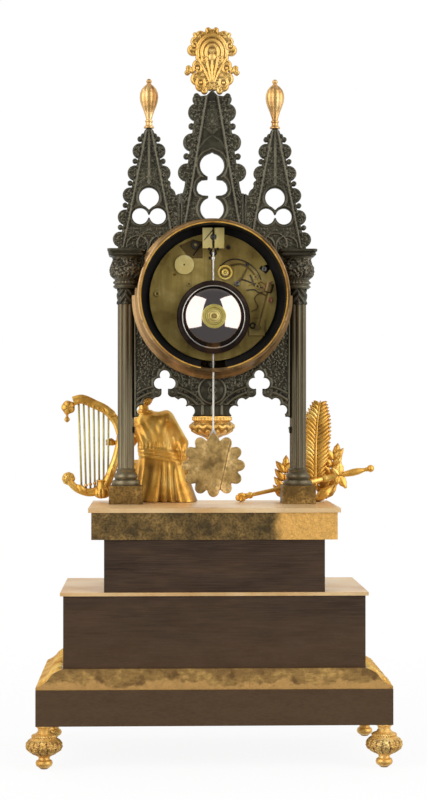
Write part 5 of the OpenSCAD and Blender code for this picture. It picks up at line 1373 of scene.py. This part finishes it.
def bar_mesh(points, width, depth):
    """A flattened bar through points in X and Z, with a groove along its back and front."""
    groove, sides = 0.2, 28
    p = np.array(points, float)
    w = np.broadcast_to(np.asarray(width, float), (len(p),))
    tangent = np.gradient(p, axis=0)
    tangent /= np.linalg.norm(tangent, axis=1)[:, None]
    normal = np.stack([-tangent[:, 1], tangent[:, 0]], 1)
    a = angles(sides)
    across = np.sign(np.cos(a)) * np.abs(np.cos(a)) ** 0.7
    face = np.sign(np.sin(a)) * np.abs(np.sin(a)) ** 0.5
    edges = 0.5 * groove * np.exp(-((abs(across) - 0.8) / 0.1) ** 2)
    face = face * (1 - groove * np.exp(-(across / 0.3) ** 2) - edges)
    rings = [np.stack([q[0] + n[0] * k / 2 * across, np.full(sides, HARP_Y) + depth / 2 * face,
                       TOP_Z + q[1] + n[1] * k / 2 * across], 1) for q, n, k in zip(p, normal, w)]
    faces = grid_quads(len(p), sides, wrap=True, flip=True)
    faces.append(list(range(sides)))
    faces.append([(len(p) - 1) * sides + j for j in range(sides)][::-1])
    return np.vstack(rings), faces


neck = spline([(115.5, 84.5), (107.8, 86), (98, 82), (87.4, 76.5), (79.5, 67), (76, 57)], 44)
base = spline([(119.2, 19), (115.6, 13.8), (110, 10), (102, 8), (94, 9.6)], 30)
body = spline([(91, 10), (86.6, 18), (80.5, 34), (77, 48), (76, 58)], 30)
merged("harp_frame", [
    bar_mesh(neck, 7.8 - 1.0 * np.linspace(0, 1, 44) ** 2, 6.0),
    bar_mesh(base, np.linspace(5.4, 7.4, 30), 6.0),
    tube_mesh(upright(body, HARP_Y, TOP_Z), np.linspace(3.9, 3.0, 30), 18),
], "gilt", slot="gilt", replace=["harp"], sharp=50)


def lobes(count, depth):
    def ripple(a, h, r):
        wave = np.abs(np.cos(a * count / 2))
        return depth * (wave - 0.6) * np.minimum(r, 4) / 4, (1 - wave) ** 2
    return ripple


turned("harp_scroll", [
    (0, -2.9), (2.4, -2.9), (4.2, -2.3), (5.3, -1.0), (5.5, 0), (5.3, 1.0), (4.2, 2.3), (2.6, 2.5),
    (2.0, 3.0), (0, 3.1)
], 40, "gilt", (119.4, HARP_Y, TOP_Z + 19.6), lobes(8, 0.5), 0.3, axis="y", slot="gilt")
turned("harp_knop", [
    (0, -2.9), (2.4, -2.9), (4.4, -2.2), (5.5, -1.0), (5.7, 0), (5.5, 1.0), (4.4, 2.2), (2.2, 2.9), (0, 2.9)
], 40, "gilt", (119.6, HARP_Y, TOP_Z + 79.2), lobes(5, 0.6), 0.3, axis="y", slot="gilt")
turned("harp_drop", [
    (0, 66.6), (1.0, 67), (2.1, 68.4), (2.1, 69.8), (1.1, 71.2), (1.0, 73), (2.2, 74), (1, 75.2), (0.9, 77),
    (0, 77)
], 30, "gilt", (120.6, HARP_Y, TOP_Z), lobes(6, 0.4), 0.3, slot="gilt")
strings, pegs = [], []
for i in range(7):
    k = i / 6
    low = np.array([108.4 - 22 * k, HARP_Y, TOP_Z + 9 + 5 * k])
    high = np.array([111 - 25 * k, HARP_Y, TOP_Z + 85 - 9 * k])
    strings.append(tube_mesh([low, (low + high) / 2, high], 0.86, 12))
    pegs.append(ball_mesh(low + np.array([0, 1.6, 4.2]), 1.5, 12))
    pegs.append(ball_mesh(high + np.array([0, 2.6, -0.6]), 1.0, 12))
merged("harp_bars", strings, "olive_brass", slot="gilt")
merged("harp_pegs", pegs, "gilt", slot="gilt")


def shell_ripple(a, h, r):
    flutes = np.abs(np.cos(a * 5))
    inside = smooth(h, 1, 3) * smooth(12 - h, 0, 2)
    return 0.7 * (flutes - 0.7) * inside, (1 - flutes) ** 2 * inside


turned("harp_shell", [
    (0, 3.0), (3.2, 3.2), (5.6, 4.6), (6.5, 7), (6.3, 9.5), (5.2, 12.4), (4.2, 15.4), (4.4, 17), (5.0, 17.6),
    (4.2, 18.6), (0, 18.8)
], 60, "gilt", (91.5, HARP_Y, TOP_Z), shell_ripple, 0.4, slot="gilt")
HARP_LEAVES = (((91.5, 3, 3), (96.5, 3.4, 13), 7.5, (0.3, 1, 0), 0.1, 4),
               ((104, 2.6, 7), (112.5, 3, 15), 6, (0, 1, 0.2), 0.08, 4),
               ((85.5, 2.6, 20), (82.2, 3, 31), 6, (0, 1, 0), 0.08, 3),
               ((80, 2.8, 72), (90, 3.2, 79), 6, (0, 1, 0), 0.08, 4))
merged("harp_leaves", [leaf_mesh(np.add(root, HARP_AT), np.add(tip, HARP_AT), width, face, bend, 1.0, count)
                       for root, tip, width, face, bend, count in HARP_LEAVES], "gilt", slot="gilt")


# Trophy: palm leaf, sword and laurel

PALM_Y = -25.4
palm_rib = spline([(-87.7, 13), (-87.6, 32), (-88.2, 52), (-89.6, 70), (-91.8, 84.8)], 60)


def palm_width(s):
    return 2.2 + 10.4 * np.sin(math.pi * np.clip(0.12 + 0.86 * s, 0, 1)) ** 0.8


fronds = [tube_mesh(upright(palm_rib, PALM_Y + 1.2, TOP_Z), np.linspace(1.5, 0.5, 60), 12)]
for i in range(20):
    s = 0.03 + 0.95 * i / 20
    n = int(s * 59)
    at, along = palm_rib[n], palm_rib[n + 1] - palm_rib[max(0, n - 1)]
    along /= np.linalg.norm(along)
    for sign in (-1, 1):
        out = np.array([along[1], -along[0]]) * sign
        reach = palm_width(s)
        aim = out * reach + along * reach * 0.95
        root = (at[0], PALM_Y + 0.4, TOP_Z + at[1])
        tip = (at[0] + aim[0], PALM_Y - 0.8, TOP_Z + min(at[1] + aim[1], 85))
        fronds.append(leaf_mesh(root, tip, 4.0, (0.1 * sign, 1, -0.45), 0.06, 1.5, 0, 10, 4))
merged("palm_carved", fronds, "gilt", slot="gilt", replace=["trophy"])

SWORD_Y = -20.0
SWORD_TIP = np.array([-22.8, TOP_Z + 3.6])
SWORD_TURN = math.radians(12.4)


def sword_at(along, across=0.0, y=SWORD_Y):
    """A point of the sword, from its tip along it and across it, in its own plane."""
    c, s = math.cos(SWORD_TURN), math.sin(SWORD_TURN)
    return SWORD_TIP[0] - along * c - across * s, y, SWORD_TIP[1] + along * s - across * c


def sword_bar(stations, flat):
    """A round bar on the sword's line, from (way along, radius) pairs."""
    return tube_mesh([sword_at(a) for a, _ in stations], [r for _, r in stations], 24, flat)


scabbard = sword_bar([(-2, 0.5), (0, 1.3), (9, 1.6), (84, 2.1), (85, 0.3)], 0.86)
chape = sword_bar([
    (-2.6, 1.0), (-1.6, 2.4), (0.6, 3.0), (3, 2.4), (5, 2.7), (8, 2.2), (9.4, 2.9), (11, 2.7), (12, 1.8)
], 0.8)
locket = sword_bar([
    (72, 2.2), (73, 3.0), (75, 3.1), (76, 2.6), (80, 2.8), (84, 3.4), (86, 3.2), (87, 2.0)
], 0.8)
grip = sword_bar([
    (87, 1.5), (89, 1.6), (92, 2.4), (98, 3.1), (103, 2.8), (107, 1.8), (109, 1.5), (110, 2.0), (111, 1.5)
], 0.9)
pommel = ball_mesh(sword_at(113.4), 3.1, 20)
guard = []
for sign in (-1, 1):
    for start, end, out, y, y_tip, width, thick, count in (
            (86, 89.5, 11.5, 1.5, 1.5, 7.5, 2.4, 3), (86, 82, 7.5, 2.2, 2.2, 5, 1.6, 2),
            (6, 0, 3.4, 2, 2.2, 4.4, 1.4, 2)):
        guard.append(leaf_mesh(sword_at(start, 0, SWORD_Y + y), sword_at(end, sign * out, SWORD_Y + y_tip),
                               width, (0, 1, 0), 0.06, thick, count))
    guard.append(ball_mesh(sword_at(89.4, sign * 10.4), 1.6, 12))
merged("sword_carved", [scabbard, chape, locket, grip, pommel, *guard], "gilt", slot="gilt")


LAUREL_Y = -31.5
LEAF_TURN = 38
LEAF_LEAN = 240 / 57


def spray_leaves(root, count, height, lean, length, width):
    """An upright twig with pairs of leaves, one leaf on top, and berries."""
    found = [tube_mesh([(root[0] + lean * t, LAUREL_Y, TOP_Z + root[1] + height * t) for t in (0, 0.5, 1)],
                       [1.1, 0.9, 0.5], 10)]
    for i in range(count):
        for sign in (-1, 1):
            t = i / count
            at = np.array([root[0] + lean * t, LAUREL_Y + 0.8 * (i % 2), TOP_Z + root[1] + height * t + 1])
            turn = math.radians(sign * LEAF_TURN - LEAF_LEAN * lean / height)
            aim = np.array([-math.sin(turn), 0.1 * sign, math.cos(turn)]) * (length - 0.4 * i)
            found.append(leaf_mesh(at, at + aim, width, (0, 1, 0), 0.12, 1.0, 3, 14, 6))
    top = np.array([root[0] + lean, LAUREL_Y, TOP_Z + root[1] + height - 2])
    found.append(leaf_mesh(top, top + np.array([lean * 0.3, 0, 11]), width, (0, 1, 0), 0.1, 1.0, 3, 14, 6))
    for i in range(count):
        found.append(ball_mesh((root[0] + lean * i / count + 3 * (-1) ** i, LAUREL_Y + 1.9,
                                TOP_Z + root[1] + height * (i + 0.5) / count), 1.5, 12))
    return found


merged("laurel_carved", [
    *spray_leaves((-97, 2), 6, 38, -8, 15, 6.4),
    *spray_leaves((-61, 2), 4, 28, -2, 14, 6.0),
    leaf_mesh((-88, -24, TOP_Z + 1), (-103, -25, TOP_Z + 14), 8.6, (0, 1, 0.3), 0.16, 1.6, 4),
    leaf_mesh((-86, -26, TOP_Z + 0.6), (-98, -27, TOP_Z + 7), 6.6, (0, 1, 0.3), 0.14, 1.4, 3),
    tube_mesh([(-86, -25, TOP_Z + 2), (-95, -26, TOP_Z + 9), (-102, -27, TOP_Z + 22)], [1.6, 1.3, 0.9], 10),
], "gilt", slot="gilt")


# Case of the movement: painted shade inside the drum, bell and the pieces on the back plate

SLOT = math.degrees(math.asin(10.4 / 57.8))


def band_mesh(r0, r1, y0, y1):
    """A ring about the dial's axis, open over the pendulum slot."""
    n = 160
    a = np.radians(np.linspace(-90 + SLOT, 270 - SLOT, n))
    ring = [(r0, y0), (r1, y0), (r1, y1), (r0, y1)]
    v = np.array([(r * math.cos(t), y, DIAL_Z + r * math.sin(t)) for t in a for r, y in ring])
    ends = [[0, 1, 2, 3], [4 * n - 1, 4 * n - 2, 4 * n - 3, 4 * n - 4]]
    return v, ends + grid_quads(n, 4, wrap=True, flip=True)


# Black linings on the drum's inner wall and across the gap round the back plate: painted shade.
merged("drum_shade_lining", [band_mesh(57.6, 57.95, 9, 54.6), band_mesh(51.7, 57.9, 26.2, 26.6)], "blacking_and_shade",
       sharp=40)
merged("drum_rim", [band_mesh(58.02, 59.0, 54.9, 55.35)], "gilt", sharp=40)


BELL_TOP, BELL_R = 53.5, 36.4


def dome(r, step=0.0):
    """A point of the bell's profile at a radius, at or near the outside of its dome."""
    return r, BELL_TOP - BELL_R + math.sqrt(BELL_R ** 2 - r * r) + step


BELL_AT = (0, 0, BELL_Z)
INSIDE = [dome(0, -1.5), dome(12, -1.5), dome(24.6, -1.5), dome(24.9, -0.2)]
turned("bell_dome", INSIDE + [dome(r) for r in np.linspace(24.9, 0, 40)], 120, "bell_metal", BELL_AT, None,
       0.5, axis="y", slot="bell_metal", replace=["bell"])
turned("bell_lip", [
    dome(24.2, -1.6), (29.3, 38.6), (29.55, 38.9), (29.5, 39.6), (28.6, 40.4), (27, 41.6), dome(25.6, 0.05),
    dome(25.3, -0.2)
], 120, "bell_rim", BELL_AT, None, 0.4, axis="y", slot="bell_metal")
# A small step at the dome's edge in a paler, rougher steel than the bell: a real step with a painted
# highlight.
turned("bell_step_highlight", [
    dome(24.7, -0.3), dome(25.4, -0.3), dome(25.4, 0.06), dome(25.1, 0.2), dome(24.7, 0.02)
], 120, "bright_steel", BELL_AT, None, 0.2, axis="y", slot="bell_metal")


def rings_hollow(edges):
    def ripple(a, h, r):
        return 0 * r, np.clip(sum(ridge(r - e, 0.35) for e in edges), 0, 1) * 0.9
    return ripple


turned("bell_washer", [
    (0, 53.2), (9.5, 53.2), (9.7, 53.5), (9.7, 54.4), (9.2, 54.8), (7.4, 54.9), (7.0, 54.6), (6.6, 54.6),
    (6.3, 55.0), (5.2, 55.0)
], 72, "olive_brass", BELL_AT, rings_hollow((6.8,)), 0.2, axis="y", slot="brass", replace=["bell_nut"])
turned("bell_nut_turned", [
    (0, 54.7), (5.0, 54.8), (5.1, 55.9), (4.6, 56.4), (3.6, 56.6), (3.4, 57.6), (2.9, 57.9), (1.9, 57.9),
    (1.7, 57.2), (0.9, 57.2), (0.7, 57.9), (0, 57.9)
], 48, "pale_brass", BELL_AT, rings_hollow((1.3, 4.0)), 0.15, axis="y", slot="brass")


def pin(name, x, z, r, look, high):
    """A pin or screw head on the back plate, with a darker eye in its middle."""
    eye = 0.42

    def ripple(a, h, rr):
        return 0 * rr, (rr < r * eye).astype(float)
    low, rim, top = PLATE_Y - 0.3, PLATE_Y + high * 0.6, PLATE_Y + high
    return turned(name, [
        (0, low), (r * 0.98, low), (r, rim), (r * 0.88, top), (r * (eye + 0.08), top), (r * eye, rim),
        (0, rim)
    ], 28, look, (x, 0, z), ripple, 0.2, axis="y")


RING_AT = (-9.7, 0, 392.9)
turned("click_ring", [
    (0, 29.8), (6.0, 29.8), (6.1, 31.2), (5.8, 31.6), (4.9, 31.6), (4.6, 31.2), (4.5, 30.5), (2.7, 30.5),
    (2.6, 31.9), (2.1, 32.2), (1.2, 32.2), (1.0, 31.7), (0, 31.7)
], 56, "click_brass", RING_AT, rings_hollow((3.2, 3.6, 4.1, 1.0)), 0.15, axis="y")
for n, (x, z, r, look, high) in enumerate((
        (14.4, 415, 3.4, "iron", 1.6), (-12.4, 413.2, 1.9, "iron", 0.5), (-27.2, 398.9, 1.5, "iron", 1.2),
        (-34.3, 389.2, 2.1, "plate_brass", 1.0), (-36, 381.6, 2.3, "plate_brass", 1.2),
        (19.6, 383.7, 2.1, "plate_brass", 0.8), (-19.4, 384, 2.4, "steel", 1.8),
        (-46.3, 370.7, 2.2, "hammer_copper", 1.4), (45.5, 375.6, 2.5, "plate_brass", 0.9),
        (-32, 349.9, 2.8, "iron", 2.2), (2.6, 404.6, 1.2, "iron", 0.8), (-41.6, 395.8, 2.1, "steel", 1.2))):
    pin(f"plate_pin_{n + 1}", x, z, r, look, high)


def plate_patch(name, corners, look, high=0.5, edge=0.3):
    """A thin flat piece on the back plate."""
    xs, zs = zip(*corners)
    return relief(name, lambda x, z: polygon(x, z, corners), lambda x, z, d: 0 * x,
                  (min(xs), max(xs), min(zs), max(zs)), 0.4, PLATE_Y + high / 2 + 0.02, high, look, edge)


plate_patch("rear_cock", [(-28.6, 341.6), (-42, 341.6), (-42, 355.6), (-28.6, 355.6)], "plate_brass",
            1.4, 0.35)
# A dark patch on the plate's recess: painted shade.
plate_patch("recess_shade_patch", [(8.4, 404.4), (20, 404.4), (22, 408), (27.4, 414.4), (16, 419.6), (8.4, 417.6)],
            "dark_brass", 0.3, 0.12)
# A black patch where the plate's edge is notched: painted shade.
plate_patch("notch_shade_patch", [(-39, 398.5), (-44.6, 394), (-42.6, 391.8), (-37.2, 396.2)], "blacking_and_shade", 0.3, 0.12)


def lever(name, points, r, look):
    """A thin bent bar or spring that lies on the back plate."""
    y, flat = PLATE_Y + 0.65, 0.6
    v, faces = tube_mesh(upright(spline(points, 26), y), np.linspace(r, r * 0.7, 26), 10, flat)
    add_mesh(name, v, faces, look)


LEVERS = {
    "long_spring": ([(-5.6, 398), (-12, 402.6), (-20, 403.6), (-29, 400), (-36, 393), (-38.6, 387)], 0.5,
                    "iron"),
    "warning_lever": ([(-14, 398.6), (-22, 399.6), (-29, 396), (-34.6, 389.4)], 0.75, "dark_brass"),
    "lifting_lever": ([(-18.6, 383.6), (-23, 388.6), (-27, 396)], 0.9, "dark_brass"),
    "hammer_tail": ([(-22.4, 387.6), (-29, 385.4), (-35.6, 382), (-42.6, 379.8)], 0.6, "iron"),
    "hammer_spring": ([(-27, 378.6), (-33, 379), (-37, 376.6), (-40.6, 377.4)], 0.5, "iron"),
    "cross_piece": ([(-29.6, 391), (-31.6, 386.6), (-33.4, 381.6)], 0.6, "iron"),
    "return_spring": ([(-42.6, 374.4), (-37.6, 376), (-33.6, 372), (-36, 364.6), (-31, 361.4)], 0.55,
                      "dark_brass"),
    "curl": ([(-28.6, 382.6), (-32.6, 384.6), (-35.6, 384), (-38.6, 385.4), (-41.6, 383)], 0.45, "brass"),
}
for label, (points, r, look) in LEVERS.items():
    lever(label, points, r, look)
solid("hammer_knob", lambda p: joined(ellipsoid(p, (-44.4, 33.4, 380.2), (4.0, 2.0, 4.0)),
                                      capsule(p, (-45, 33, 383.6), (-47.4, 33, 385.4), 1.1, 0.7), 1.0),
      (-49.5, 31, 375), (-39.5, 36.4, 387), 0.35, "hammer_copper", body="hammer")

merged("silk_guide", [
    tube_mesh([(0.2, 38.35, 427.2), (0.2, 38.35, 420), (0.2, 38.3, 412.4)], 0.42, 8),
    tube_mesh([(0.6, 38.6, 426.4), (8.6, 37.6, 417), (9.4, 32.4, 415.6), (16.2, 30.8, 406.6)], 0.34, 8),
    ball_mesh((-3.4, 37.4, 411.4), 1.3, 12), ball_mesh((3.4, 37.4, 411.4), 1.3, 12),
], "blacking_and_shade")


# Dial side: numerals, minute ring and a beaded bezel

DIAL_Y = -10.0
STROKES = {"I": [((0, 0), (0, 1), 1)], "V": [((-0.36, 1), (0, 0), 1), ((0.36, 1), (0, 0), 0.45)],
           "X": [((-0.36, 1), (0.36, 0), 1), ((0.36, 1), (-0.36, 0), 0.45)]}
ADVANCE = {"I": 0.34, "V": 0.86, "X": 0.86}
ROMAN = ["XII", "I", "II", "III", "IIII", "V", "VI", "VII", "VIII", "IX", "X", "XI"]


def dial_bar(a, b, w):
    """A thin enamelled stroke from a to b on the dial, as a flat bar."""
    a, b = np.array(a, float), np.array(b, float)
    side = np.array([-(b - a)[1], (b - a)[0]])
    side *= w / 2 / np.linalg.norm(side)
    ring = [a + side, a - side, b - side, b + side]
    v = [(x, y, DIAL_Z + z) for y in (DIAL_Y - 0.14, DIAL_Y + 0.05) for x, z in ring]
    walls = [[j, (j + 1) % 4, 4 + (j + 1) % 4, 4 + j] for j in range(4)]
    return np.array(v), [[3, 2, 1, 0], [4, 5, 6, 7], *walls]


def heading(turn):
    return np.array([math.cos(turn), math.sin(turn)])


NUMERAL = 8.6
NUMERAL_R = 33.4
marks = []
for hour, text in enumerate(ROMAN):
    turn = math.radians(90 - 30 * hour)
    up, right = heading(turn), heading(turn - math.pi / 2)
    cursor = -NUMERAL * sum(ADVANCE[c] for c in text) / 2
    for c in text:
        middle = cursor + NUMERAL * ADVANCE[c] / 2
        reach = 0.2 if c == "I" else 0.5
        serifs = [((-reach, foot), (reach, foot), 0.4 / 1.35) for foot in ((0, 1) if c == "I" else (1,))]
        for a, b, w in STROKES[c] + serifs:
            marks.append(dial_bar(*(up * (NUMERAL_R + NUMERAL * q[1]) + right * (middle + NUMERAL * q[0])
                                    for q in (a, b)), 1.35 * w))
        cursor += NUMERAL * ADVANCE[c]
for k in range(60):
    d, e = heading(math.radians(6 * k)), heading(math.radians(6 * k) + 0.1048)
    marks.append(dial_bar(d * 45.4, d * (48.2 if k % 5 else 49.4), 0.4 if k % 5 else 1.0))
    marks += [dial_bar(d * r, e * r, 0.22) for r in (45.2, 48.4)]
merged("dial_numerals", marks, "ink", sharp=30)
BEAD_R = 57.4
merged("bezel_beads", [ball_mesh((BEAD_R * math.cos(a), -22.4, DIAL_Z + BEAD_R * math.sin(a)), 1.7, 12)
                       for a in angles(84)], "pale_gilt", body="door")


# Colour view of the render

bpy.context.scene.view_settings.view_transform = "Standard"
